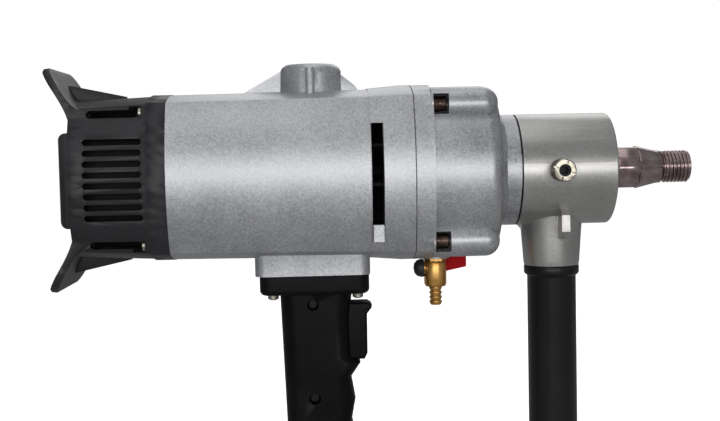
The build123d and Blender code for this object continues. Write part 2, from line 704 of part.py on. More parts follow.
def water_tube():
    """Bent tube from the valve to the gallery in the casting."""
    bend = 6.0
    path = FilletPolyline(
        (VALVE_X, 0, -55.0), (VALVE_X, 0, GALLERY_Z), (-132.2, 0, GALLERY_Z), radius=bend
    )
    wall = Circle(3.0) - Circle(2.0)
    return sweep(Plane((VALVE_X, 0, -55.0), x_dir=(1, 0, 0), z_dir=(0, 0, 1)) * wall, path=path)


def valve_union():
    """Hexagon union with the stub that screws into the gear case."""
    nut = extrude(Plane.XY.offset(-61.0) * (Pos(VALVE_X, 0) * RegularPolygon(7.7, 6)), 1.78)
    union = nut + post(-61.0, -51.0, 5.0, VALVE_X)
    return union - post(-62.0, -50.0, 3.0 + SEATED, VALVE_X)


def valve_body():
    """Brass ball-valve body with its plug boss, side port and stem gland."""
    body = turned_upright(
        [
            (0, VALVE_BOTTOM),
            (6.8, VALVE_BOTTOM),
            (VALVE_RADIUS, -76.8),
            (VALVE_RADIUS, -62.6),
            (7.0, -61.02),
            (0, -61.02),
        ],
        VALVE_X,
    )
    body += cross_pin(0, 9.0, 4.2, VALVE_X, VALVE_Z)
    body += rod(VALVE_X - 9.5, VALVE_X, 4.6, z=VALVE_Z)
    boss = Pos(VALVE_X, 0, VALVE_Z) * Rot(0, 0, 205) * rod(5.0, 8.4, 2.6)
    body += boss
    body -= Pos(VALVE_X, 0, VALVE_Z) * Sphere(5.3)
    body -= post(-80.0, -60.0, 3.0, VALVE_X)
    body -= post(-72.6, -59.0, 5.3, VALVE_X)
    body -= post(-79.0, -74.6, 4.4, VALVE_X)
    body -= cross_pin(0, 10.0, 2.05, VALVE_X, VALVE_Z)
    return body


def valve_seats():
    """Two plastic seat rings above and below the ball."""
    seats = post(-63.2, -61.1, 5.28, VALVE_X) - post(-64.0, -60.0, 3.0, VALVE_X)
    lower = post(-72.55, -68.8, 5.28, VALVE_X) - post(-73.0, -68.0, 3.0, VALVE_X)
    room = Pos(VALVE_X, 0, VALVE_Z) * Sphere(5.1)
    return Compound(children=[seats - room, lower - room])


def valve_ball():
    """Drilled ball with the slot for the stem; closed at rest, so its bore lies along X."""
    ball = Pos(VALVE_X, 0, VALVE_Z) * Sphere(5.0)
    ball -= rod(VALVE_X - 6.0, VALVE_X + 6.0, 2.8, z=VALVE_Z)
    return ball - block((VALVE_X - 2.6, VALVE_X + 2.6), (3.4, 6.0), (VALVE_Z - 0.8, VALVE_Z + 0.8))


def valve_stem():
    """Stem from the ball to the lever, with the nut that holds the lever on it."""
    stem = cross_pin(5.05, 14.0, 2.0, VALVE_X, VALVE_Z)
    tongue = block((VALVE_X - 1.8, VALVE_X + 1.8), (3.5, 5.2), (VALVE_Z - 0.7, VALVE_Z + 0.7))
    nut = extrude(Plane.XZ.offset(-15.0) * (Pos(VALVE_X, VALVE_Z) * RegularPolygon(3.9, 6)), 2.5)
    nut -= cross_pin(12.0, 16.0, 2.0 + SEATED, VALVE_X, VALVE_Z)
    return Compound(children=[stem + tongue, nut])


def valve_lever():
    """Flat lever with its hub on the stem."""
    hub = cross_pin(9.4, 12.4, 4.6, VALVE_X, VALVE_Z)
    arm = plate([(0, -3.2), (9.0, -3.6), (22.8, -0.8), (22.8, 8.4), (21.4, 9.2), (8.0, 9.2), (0, 4.0)], 1.2)
    lever = hub + Pos(VALVE_X, 10.9, VALVE_Z) * arm
    return lever - cross_pin(9.0, 13.0, 2.0 + SEATED, VALVE_X, VALVE_Z)


def port_cap():
    """Black domed cap on the spare side port of the valve."""
    dome = [(-15.0, 0), (-14.4, 3.4), (-12.6, 5.4), (-10.0, 6.2), (-7.9, 6.2)]
    cap = turned(dome + [(-7.9, 4.62), (-9.6, 4.62), (-9.6, 0)])
    return Pos(VALVE_X, 0, VALVE_Z) * cap


def hose_barb():
    """Barbed hose tail screwed into the valve."""
    profile = [(2.4, BARB_END), (3.5, BARB_END)]
    for index in range(4):
        low = BARB_END + index * 3.2
        profile += [(BARB_RADIUS, low + 1.9), (BARB_RADIUS, low + 2.7), (3.5, low + 3.2)]
    profile += [(4.38, -78.7), (4.38, -74.7), (2.4, -74.7)]
    return turned_upright(profile, VALVE_X)


# ---------------------------------------------------------------- pistol grip

# Grip sections: height, rear edge, front edge.
GRIP_STATIONS = [
    (GRIP_TOP, -264.0, -215.5),
    (-81.5, -264.0, -215.5),
    (-98.0, -263.4, -217.5),
    (-123.5, -262.6, -217.0),
    (-128.6, -262.4, -210.3),
    (-138.0, -262.0, -216.8),
    (-153.0, -261.6, -214.3),
    (-167.0, -261.2, -217.0),
    (-180.5, -260.8, -214.2),
    (-193.0, -260.6, -217.0),
    (-200.5, -261.2, -214.6),
    (GRIP_BOTTOM, -260.0, -216.0),
]
GRIP_HALF_WIDTH = 17.0


def grip_solid(shrink):
    """The grip's outer form, or with a positive shrink the hollow inside it."""
    faces = []
    for height, rear, front in GRIP_STATIONS:
        length = front - rear - 2 * shrink
        outline = fillet(Rectangle(length, 2 * (GRIP_HALF_WIDTH - shrink)).vertices(), 11.0 - shrink)
        faces.append(Pos((rear + front) / 2, 0, height) * outline)
    return loft(faces, ruled=True)


def grip_screw_places():
    """The four screws of the grip flange, as (x, y)."""
    return [(x, side * 25.0) for x in (-268.0, -212.0) for side in (-1, 1)]


def shell_screw_places():
    """The three screws that join the grip shells, as (x, z)."""
    return [(-242.0, -87.4), (-242.0, -151.4), (-241.0, -193.0)]


def grip_shell(side):
    """One half of the grip; side is +1 for the half at +Y and -1 for the half at -Y."""
    shell = grip_solid(0.0) - (grip_solid(GRIP_WALL) & block((-300, -180), (-30, 30), (GRIP_BOTTOM + 4, -60)))
    for x, z in shell_screw_places():
        shell += cross_pin(-16.0, 16.0, 4.6, x, z) & grip_solid(0.0)
    reach = (0.05, 30.0) if side > 0 else (-30.0, -0.05)
    shell &= block((-300.0, -180.0), reach, (-210.0, -70.0))
    shell -= block((-232.0, -200.0), (-9.4, 9.4), (TRIGGER_BOTTOM - 0.6, TRIGGER_TOP + 0.6))
    shell -= post(GRIP_BOTTOM - 1.0, GRIP_BOTTOM + 6.0, 7.0 + SEATED, GLAND_X)
    for x, z in shell_screw_places():
        shell -= cross_pin(-20.0, 12.0, 1.6, x, z)
        shell -= cross_pin(-20.0, -9.0, 3.8, x, z)
    return shell


def grip_shell_screws():
    """Three screws across the grip shells."""
    screws = []
    for x, z in shell_screw_places():
        head = cross_pin(-11.6, -9.05, 3.4, x, z)
        head = fillet(head.edges().sort_by(Axis.Y)[0], 1.1)
        head -= block((x - 2.0, x + 2.0), (-12.0, -10.4), (z - 0.5, z + 0.5))
        head -= block((x - 0.5, x + 0.5), (-12.0, -10.4), (z - 2.0, z + 2.0))
        screws.append(head + cross_pin(-9.05, 11.0, 1.55, x, z))
    return Compound(children=screws)


def grip_flange():
    """Black moulded flange between the casting and the grip."""
    flange = rounded_block((-276.8, -204.2), (-32.0, 32.0), (GRIP_FLANGE_BOTTOM, SEAT_BOTTOM - SEATED), 8.0)
    flange = fillet(flange.edges().group_by(Axis.Z)[0], 3.5)
    pocket = fillet(Rectangle(48.6, 34.1).vertices(), 11.0)
    flange -= extrude(Pos(-239.75, 0, GRIP_FLANGE_BOTTOM - 1.0) * pocket, 6.0)
    flange -= post(GRIP_FLANGE_BOTTOM, SEAT_BOTTOM, 8.0, -240.0)
    for x, y in grip_screw_places():
        flange -= post(GRIP_FLANGE_BOTTOM - 1.0, SEAT_BOTTOM, 2.7, x, y)
    return flange


def grip_flange_screws():
    """Four screws up through the flange into the casting."""
    screws = []
    for x, y in grip_screw_places():
        head = post(-82.6, GRIP_FLANGE_BOTTOM - SEATED, 4.2, x, y)
        head = fillet(head.edges().sort_by(Axis.Z)[0], 1.4)
        head -= block((x - 2.4, x + 2.4), (y - 0.6, y + 0.6), (-83.0, -81.2))
        head -= block((x - 0.6, x + 0.6), (y - 2.4, y + 2.4), (-83.0, -81.2))
        screws.append(head + post(GRIP_FLANGE_BOTTOM - SEATED, -54.0, 2.5, x, y))
    return Compound(children=screws)


def switch_body():
    """Trigger switch inside the grip."""
    body = block((-257.0, SWITCH_FRONT), (-10.5, 10.5), (-134.0, -92.5))
    return body - rod(-250.0, SWITCH_FRONT, PLUNGER_RADIUS + RUNNING, z=PLUNGER_Z)


def trigger():
    """Trigger with its upper lip and the plunger that enters the switch."""
    outline = [
        (-228.0, TRIGGER_TOP),
        (-204.5, TRIGGER_TOP),
        (-201.8, TRIGGER_TOP - 1.8),
        (-202.2, TRIGGER_TOP - 4.2),
        (-205.3, TRIGGER_TOP - 8.0),
        (TRIGGER_FACE, TRIGGER_BOTTOM + 4.0),
        (-207.5, TRIGGER_BOTTOM),
        (-228.0, TRIGGER_BOTTOM),
    ]
    body = plate(outline, TRIGGER_HALF_WIDTH)
    edges = body.edges().filter_by(Axis.Y, reverse=True)
    body = fillet(edges.filter_by(lambda edge: edge.center().X > -226.0 and abs(edge.center().Y) > 8.0), 2.0)
    return body + rod(-239.5, -227.0, PLUNGER_RADIUS, z=PLUNGER_Z)


def cable_gland():
    """Rubber cable inlet at the foot of the grip."""
    inner = 4.0
    return turned_upright(
        [
            (inner, -223.0),
            (6.0, -223.0),
            (7.5, -207.5),
            (9.0, -207.3),
            (9.0, GRIP_BOTTOM - SEATED),
            (7.0, GRIP_BOTTOM - SEATED),
            (7.0, -199.5),
            (inner, -199.5),
        ],
        GLAND_X,
    )


# ---------------------------------------------------------------- side handle


def handle_collar():
    """Cast collar that turns on the nose, with the handle socket below it."""
    collar = rod(COLLAR_REAR, COLLAR_FRONT, COLLAR_RADIUS)
    collar = fillet(collar.edges().sort_by(Axis.X)[-1], 1.2)
    socket = turned_upright(
        [(0, SOCKET_BOTTOM), (18.6, SOCKET_BOTTOM), (19.0, -63.0), (20.5, -42.0), (22.0, -28.0), (0, -28.0)],
        HANDLE_X,
    )
    rib = block((-76.5, -71.0), (-33.0, 33.0), (-46.0, -25.0))
    rib = chamfer(rib.edges().filter_by(Axis.X), 5.0)
    web = plate([(-103.0 + 1.0, -36.0), (-96.0, -42.5), (-90.0, -46.0), (-90.0, -30.0), (-102.0, -30.0)], 2.5)
    collar = collar + socket + rib + web
    collar -= rod(COLLAR_REAR - 1.0, COLLAR_FRONT + 1.0, NOSE_RADIUS + RUNNING)
    collar -= post(-70.0, -38.5, 13.0 + SEATED, HANDLE_X)
    return collar - cross_pin(-60.0, -20.0, LOCK_RADIUS + RUNNING, LOCK_X, 0)


def handle_tube():
    """Steel tube of the side handle."""
    return post(-203.0, -38.6, 13.0, HANDLE_X) - post(-204.0, -38.0, 11.0, HANDLE_X)


def handle_grip():
    """Rubber sleeve of the side handle with its end ring."""
    outer = turned_upright(
        [
            (13.0 + SEATED, -201.0),
            (HANDLE_GRIP_RADIUS, -201.0),
            (HANDLE_GRIP_RADIUS, -73.0),
            (18.4, -71.5),
            (18.75, -70.5),
            (18.75, -66.5),
            (18.2, SOCKET_BOTTOM - SEATED),
            (13.0 + SEATED, SOCKET_BOTTOM - SEATED),
        ],
        HANDLE_X,
    )
    return outer


def handle_end_cap():
    """Plug that closes the foot of the side handle."""
    plug = 11.0 - SEATED
    return turned_upright(
        [
            (0, HANDLE_END),
            (15.6, HANDLE_END),
            (17.2, -203.8),
            (17.2, -203.02),
            (plug, -203.02),
            (plug, -192.0),
            (0, -192.0),
        ],
        HANDLE_X,
    )


def lock_ring():
    """Notched nickel ring under the head of the collar screw."""
    ring = cross_pin(-LOCK_TOP, -38.1, LOCK_RING_RADIUS, LOCK_X, 0)
    ring = chamfer(ring.edges().sort_by(Axis.Y)[0], 0.8)
    ring -= cross_pin(-LOCK_TOP - 1.0, -38.0, LOCK_RADIUS + RUNNING, LOCK_X, 0)
    for index in range(4):
        notch = block((4.4, 9.0), (-LOCK_TOP - 1.0, -LOCK_TOP + 2.0), (-0.6, 0.6))
        ring -= Pos(LOCK_X, 0, 0) * Rot(0, 20.0 + index * 90.0, 0) * notch
    return ring


def lock_screw():
    """Socket screw whose tip runs in the groove of the nose."""
    screw = cross_pin(-47.5, -31.9, LOCK_RADIUS, LOCK_X, 0)
    socket = extrude(Plane.XZ.offset(48.0) * (Pos(LOCK_X, 0) * RegularPolygon(2.9, 6)), -5.0)
    return screw - socket


NODES = {
    "rear_cover": rear_cover(),
    "rear_cover_screws": rear_cover_screws(),
    "motor_housing": motor_housing(),
    "fan_housing": fan_housing(),
    "case_gasket": case_gasket(),
    "gear_case": gear_case(),
    "gear_case_bolts": gear_case_bolts(),
    "rear_bearing_bracket": rear_bearing_bracket(),
    "brush_plate": brush_plate(),
    "brush_holders": Compound(children=[brush_holder(1), brush_holder(-1)]),
    "upper_brush": carbon_brush(1),
    "lower_brush": carbon_brush(-1),
    "upper_brush_spring": brush_spring(1),
    "lower_brush_spring": brush_spring(-1),
    "stator_core": stator_core(),
    "field_coils": field_coils(),
    "armature_shaft": armature_shaft(),
    "armature_core": armature_core(),
    "armature_windings": armature_windings(),
    "commutator": commutator(),
    "cooling_fan": cooling_fan(),
    "fan_baffle": fan_baffle(),
    "armature_bearings": armature_bearings(),
    "layshaft": layshaft(),
    "layshaft_gear": layshaft_gear(),
    "layshaft_bearings": layshaft_bearings(),
    "spindle": spindle(),
    "spindle_gear": spindle_gear(),
    "clutch_discs": clutch_discs(),
    "clutch_spring": clutch_spring(),
    "clutch_nut": clutch_nut(),
    "spindle_bearings": spindle_bearings(),
    "shaft_seals": shaft_seals(),
    "water_ring": water_ring(),
    "seal_retainer": seal_retainer(),
    "retainer_screws": retainer_screws(),
    "neck_ring": neck_ring(),
    "water_tube": water_tube(),
    "valve_union": valve_union(),
    "valve_body": valve_body(),
    "valve_seats": valve_seats(),
    "valve_ball": valve_ball(),
    "valve_stem": valve_stem(),
    "valve_lever": valve_lever(),
    "port_cap": port_cap(),
    "hose_barb": hose_barb(),
    "grip_flange": grip_flange(),
    "grip_flange_screws": grip_flange_screws(),
    "left_grip_shell": grip_shell(1),
    "right_grip_shell": grip_shell(-1),
    "grip_shell_screws": grip_shell_screws(),
    "switch_body": switch_body(),
    "trigger": trigger(),
    "cable_gland": cable_gland(),
    "handle_collar": handle_collar(),
    "handle_tube": handle_tube(),
    "handle_grip": handle_grip(),
    "handle_end_cap": handle_end_cap(),
    "lock_ring": lock_ring(),
    "lock_screw": lock_screw(),
}

os.makedirs("parts", exist_ok=True)
for node, shape in NODES.items():
    export_step(shape, f"parts/{node}.step")
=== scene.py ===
"""Looks of a hand-held wet diamond core drill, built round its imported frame."""
import json
import logging
import math
from dataclasses import dataclass, field
from typing import Any, Dict, List, Optional, Sequence, Tuple, Union

import bmesh
import bpy
from mathutils import Matrix, Vector

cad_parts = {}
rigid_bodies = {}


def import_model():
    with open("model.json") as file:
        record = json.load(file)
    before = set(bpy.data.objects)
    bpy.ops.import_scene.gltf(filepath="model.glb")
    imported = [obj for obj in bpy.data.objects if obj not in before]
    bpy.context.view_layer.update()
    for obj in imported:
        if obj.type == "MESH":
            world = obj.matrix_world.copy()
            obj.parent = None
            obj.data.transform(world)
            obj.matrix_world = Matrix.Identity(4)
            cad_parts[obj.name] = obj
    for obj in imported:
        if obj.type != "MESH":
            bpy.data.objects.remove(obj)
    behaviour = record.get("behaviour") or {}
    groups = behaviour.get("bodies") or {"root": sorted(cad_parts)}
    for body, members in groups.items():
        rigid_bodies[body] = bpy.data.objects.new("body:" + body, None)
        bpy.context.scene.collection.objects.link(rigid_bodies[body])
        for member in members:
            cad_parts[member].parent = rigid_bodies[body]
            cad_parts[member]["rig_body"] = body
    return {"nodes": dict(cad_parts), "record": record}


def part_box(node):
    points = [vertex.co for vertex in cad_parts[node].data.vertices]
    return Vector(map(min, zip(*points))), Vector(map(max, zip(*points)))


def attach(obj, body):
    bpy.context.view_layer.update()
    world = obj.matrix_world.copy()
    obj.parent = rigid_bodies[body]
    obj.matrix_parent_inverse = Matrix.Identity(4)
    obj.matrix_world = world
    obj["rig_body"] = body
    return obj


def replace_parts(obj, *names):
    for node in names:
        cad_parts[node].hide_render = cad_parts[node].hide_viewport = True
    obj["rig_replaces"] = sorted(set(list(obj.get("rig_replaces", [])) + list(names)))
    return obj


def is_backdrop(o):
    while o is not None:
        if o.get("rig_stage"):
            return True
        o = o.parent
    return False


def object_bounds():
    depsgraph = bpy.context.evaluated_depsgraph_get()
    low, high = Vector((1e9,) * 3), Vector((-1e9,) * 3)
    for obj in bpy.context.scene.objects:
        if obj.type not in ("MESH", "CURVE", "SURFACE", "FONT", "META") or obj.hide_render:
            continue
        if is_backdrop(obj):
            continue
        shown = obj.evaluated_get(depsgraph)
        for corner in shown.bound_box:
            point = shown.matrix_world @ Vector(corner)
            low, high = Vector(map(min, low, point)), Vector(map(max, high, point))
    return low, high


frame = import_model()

LOG = logging.getLogger("core_drill")
MM = 0.001
SHARP = 32.0
NOISE_ROUGHNESS = 0.55
COAT_ROUGHNESS = 0.12
PATCHY = (0.36, 0.64)
STAINED = (0.38, 0.62)
Colour = Tuple[float, float, float]
Point = Tuple[float, float, float]
Span = Tuple[float, float]


# ------------------------------------------------------------------ node trees


class Wire:
    """A node socket that adds Math nodes when it stands in an expression."""

    def __init__(self, sheet: "NodeSheet", socket: bpy.types.NodeSocket) -> None:
        """Keeps the socket and the sheet that it belongs to."""
        self.sheet = sheet
        self.socket = socket

    def maths(self, operation: str, *values: Union[float, "Wire"]) -> "Wire":
        """Adds one Math node.

        Args:
            operation: Name of the Math node's operation.
            *values: Its inputs in order.

        Returns:
            The result's socket.
        """
        return self.sheet.add("ShaderNodeMath", {"operation": operation}, dict(enumerate(values)))

    def of(self, operation: str, *values: Union[float, "Wire"]) -> "Wire":
        """A Math node whose first input is this socket."""
        return self.maths(operation, self, *values)

    def __add__(self, other: Union[float, "Wire"]) -> "Wire":
        """Sum."""
        return self.maths("ADD", self, other)

    def __sub__(self, other: Union[float, "Wire"]) -> "Wire":
        """Difference."""
        return self.maths("SUBTRACT", self, other)

    def __rsub__(self, other: float) -> "Wire":
        """Difference with the number first."""
        return self.maths("SUBTRACT", other, self)

    def __mul__(self, other: Union[float, "Wire"]) -> "Wire":
        """Product."""
        return self.maths("MULTIPLY", self, other)

    def __truediv__(self, other: Union[float, "Wire"]) -> "Wire":
        """Quotient."""
        return self.maths("DIVIDE", self, other)

    __radd__ = __add__
    __rmul__ = __mul__

    def between(self, low: float, high: float) -> "Wire":
        """Stretches the part from low to high over 0 to 1, with soft ends.

        Args:
            low: Value that becomes 0.
            high: Value that becomes 1.

        Returns:
            The stretched value.
        """
        settings = {"interpolation_type": "SMOOTHSTEP"}
        values = {0: self, 1: low, 2: high, 3: 0.0, 4: 1.0}
        return self.sheet.add("ShaderNodeMapRange", settings, values)


class NodeSheet:
    """Adds nodes to a shader or geometry tree."""

    def __init__(self, tree: bpy.types.NodeTree) -> None:
        """Keeps the tree."""
        self.tree = tree

    def add(
        self,
        kind: str,
        settings: Optional[Dict[str, Any]] = None,
        inputs: Optional[Dict[Union[int, str], Any]] = None,
        output: Union[int, str] = 0,
    ) -> Wire:
        """Adds one node of any kind.

        Args:
            kind: Blender's node type.
            settings: Properties that are set before the inputs.
            inputs: Values or wires by socket name or index.
            output: Socket that is returned.

        Returns:
            The chosen output.
        """
        node = self.tree.nodes.new(kind)
        for key, value in (settings or {}).items():
            setattr(node, key, value)
        for key, value in (inputs or {}).items():
            if isinstance(value, Wire):
                self.tree.links.new(value.socket, node.inputs[key])
            else:
                node.inputs[key].default_value = value
        return Wire(self, node.outputs[output] if node.outputs else None)

    def noise(self, place: Wire, size: float, detail: float = 2.0, output: int = 0) -> Wire:
        """Adds noise whose blobs are about size millimetres."""
        values = {
            "Vector": place, "Scale": 1.0 / (size * MM), "Detail": detail,
            "Roughness": NOISE_ROUGHNESS,
        }
        return self.add("ShaderNodeTexNoise", None, values, output)

    def mix(self, share: Wire, first: Union[Colour, Wire], second: Union[Colour, Wire]) -> Wire:
        """Mixes two colours.

        Args:
            share: How much of the second shows.
            first: Colour at 0.
            second: Colour at 1.

        Returns:
            The mixed colour.
        """
        ends = [c if isinstance(c, Wire) else (*c, 1.0) for c in (first, second)]
        values = {0: share, 6: ends[0], 7: ends[1]}
        return self.add("ShaderNodeMix", {"data_type": "RGBA"}, values, 2)


# -------------------------------------------------------------------- finishes


@dataclass(frozen=True)
class Finish:
    """A surface with slow patches, fine grain and a roughness that follows them.

    Sizes are in millimetres.
    """

    slot: str
    dark: Colour
    light: Colour
    metallic: float = 0.0
    roughness: float = 0.5
    swing: float = 0.08
    grain: float = 0.5
    patch: float = 28.0
    relief: float = 0.02
    stretch: Point = (1.0, 1.0, 1.0)
    coat: float = 0.0
    level: float = 0.5

    def place(self, sheet: NodeSheet) -> Wire:
        """Object coordinates, stretched for brushed or drawn surfaces."""
        spot = sheet.add("ShaderNodeTexCoord", None, None, "Object")
        return sheet.add("ShaderNodeMapping", None, {"Vector": spot, "Scale": self.stretch})

    def tint(self, sheet: NodeSheet, place: Wire, patch: Wire, grain: Wire) -> Wire:
        """Colour over the surface.

        Args:
            sheet: Where the nodes go.
            place: Coordinates, not used here.
            patch: Slow variation.
            grain: Fine variation.

        Returns:
            The colour.
        """
        return sheet.mix((patch * 0.6 + grain * 0.4).between(*PATCHY), self.dark, self.light)

    def gloss(self, sheet: NodeSheet, place: Wire, patch: Wire, grain: Wire) -> Wire:
        """Roughness over the surface, from the same inputs as tint."""
        return (patch - 0.5) * (2.0 * self.swing) + (grain - 0.5) * self.swing + self.roughness

    def height(self, sheet: NodeSheet, place: Wire, grain: Wire) -> Wire:
        """Height of the fine relief."""
        return grain

    def make(self) -> bpy.types.Material:
        """Builds the material.

        Returns:
            The material, named after its slot.
        """
        material = bpy.data.materials.new(self.slot)
        material.use_nodes = True
        material.node_tree.nodes.clear()
        sheet = NodeSheet(material.node_tree)
        place = self.place(sheet)
        patch = sheet.noise(place, self.patch, 4.0)
        grain = sheet.noise(place, self.grain, 2.0)
        height = self.height(sheet, place, grain)
        relief = {"Strength": 1.0, "Distance": self.relief * MM, "Height": height}
        bump = sheet.add("ShaderNodeBump", None, relief)
        skin = sheet.add(
            "ShaderNodeBsdfPrincipled",
            None,
            {
                "Base Color": self.tint(sheet, place, patch, grain),
                "Metallic": self.metallic,
                "Roughness": self.gloss(sheet, place, patch, grain),
                "Specular IOR Level": self.level,
                "Coat Weight": self.coat,
                "Coat Roughness": COAT_ROUGHNESS,
                "Normal": bump,
            },
        )
        sheet.add("ShaderNodeOutputMaterial", None, {"Surface": skin})
        return material


@dataclass(frozen=True)
class FlakePaint(Finish):
    """Metallic paint with a painted glint: each flake's colour is brighter or darker at random,
    standing in for how it catches the light.
    """

    flake: float = 0.9
    # Strength of the painted glint in each flake's colour.
    glint_contrast: float = 0.30

    def flakes(self, sheet: NodeSheet, place: Wire) -> Wire:
        """One random value to each flake."""
        values = {"Vector": place, "Scale": 1.0 / (self.flake * MM)}
        cells = sheet.add("ShaderNodeTexVoronoi", None, values, 1)
        return sheet.add("ShaderNodeSeparateColor", None, {0: cells})

    def tint(self, sheet: NodeSheet, place: Wire, patch: Wire, grain: Wire) -> Wire:
        """Paint with a painted glint: each flake is brighter or darker at random, on top of the
        slow patches and fine grain.
        """
        # Painted glint: random flake brightness, added to the grain and patches.
        glint_and_tone = (self.flakes(sheet, place) - 0.5) * self.glint_contrast + grain * 0.5 + patch * 0.5
        return sheet.mix(glint_and_tone.between(0.05, 0.95), self.dark, self.light)

    def gloss(self, sheet: NodeSheet, place: Wire, patch: Wire, grain: Wire) -> Wire:
        """Flakes are a little sharper than the binder between them."""
        slow = (patch - 0.5) * self.swing
        return slow + (self.flakes(sheet, place) - 0.5) * self.swing + self.roughness


@dataclass(frozen=True)
class WornMetal(Finish):
    """Metal with bright rubbed spots and darker stains."""

    rubbed: Colour = (0.75, 0.72, 0.7)
    amount: float = 0.42
    spread: float = 0.3
    top: float = 1.12

    def tint(self, sheet: NodeSheet, place: Wire, patch: Wire, grain: Wire) -> Wire:
        """Stained metal that is bright where it is rubbed."""
        base = sheet.mix((patch * 0.5 + grain * 0.5).between(*STAINED), self.dark, self.light)
        blobs = sheet.noise(place, self.patch * self.spread, 5.0)
        spots = blobs.between(1.0 - self.amount, self.top - self.amount)
        return sheet.mix(spots, base, self.rubbed)


@dataclass(frozen=True)
class HighlightStreakPlastic(Finish):
    """Moulded plastic with a painted highlight: pale streaks near one place."""

    # Centre of the painted highlight, in millimetres.
    spot: Point = (-395.0, -30.0, -68.0)
    reach: float = 16.0
    painted_highlight: Colour = (0.22, 0.22, 0.23)
    drag: Point = (0.25, 1.0, 1.4)
    streak: float = 1.6
    cover: float = 0.7

    def tint(self, sheet: NodeSheet, place: Wire, patch: Wire, grain: Wire) -> Wire:
        """Plain plastic with pale streaks painted near the spot as a highlight."""
        base = sheet.mix((patch * 0.5 + grain * 0.5).between(*PATCHY), self.dark, self.light)
        centre = tuple(v * MM for v in self.spot)
        gap = sheet.add(
            "ShaderNodeVectorMath", {"operation": "DISTANCE"}, {0: place, 1: centre}, "Value"
        )
        near = 1.0 - gap.between(0.2 * self.reach * MM, self.reach * MM)
        drawn = sheet.add("ShaderNodeMapping", None, {"Vector": place, "Scale": self.drag})
        streaks = sheet.noise(drawn, self.streak, 4.0).between(0.5, 0.68)
        # Painted highlight: pale streaks mixed in near the spot.
        return sheet.mix(near * streaks * self.cover, base, self.painted_highlight)


@dataclass(frozen=True)
class Wound(Finish):
    """Enamelled wire laid side by side, or stacked sheets, as fine bands."""

    band: float = 1.1
    axis: str = "X"
    pace: float = 0.314

    def bands(self, sheet: NodeSheet, place: Wire) -> Wire:
        """Rounded bands across the axis."""
        settings = {"wave_type": "BANDS", "bands_direction": self.axis, "wave_profile": "SIN"}
        values = {"Vector": place, "Scale": self.pace / (self.band * MM)}
        values.update({"Distortion": 0.4, "Detail": 1.0})
        return sheet.add("ShaderNodeTexWave", settings, values, 1)

    def tint(self, sheet: NodeSheet, place: Wire, patch: Wire, grain: Wire) -> Wire:
        """Painted shade: dark in the grooves between the bands; between stacked sheets it also
        stands for the dark joint.
        """
        return sheet.mix(self.bands(sheet, place) * 0.7 + patch * 0.3, self.dark, self.light)

    def height(self, sheet: NodeSheet, place: Wire, grain: Wire) -> Wire:
        """Bands stand up."""
        return self.bands(sheet, place)


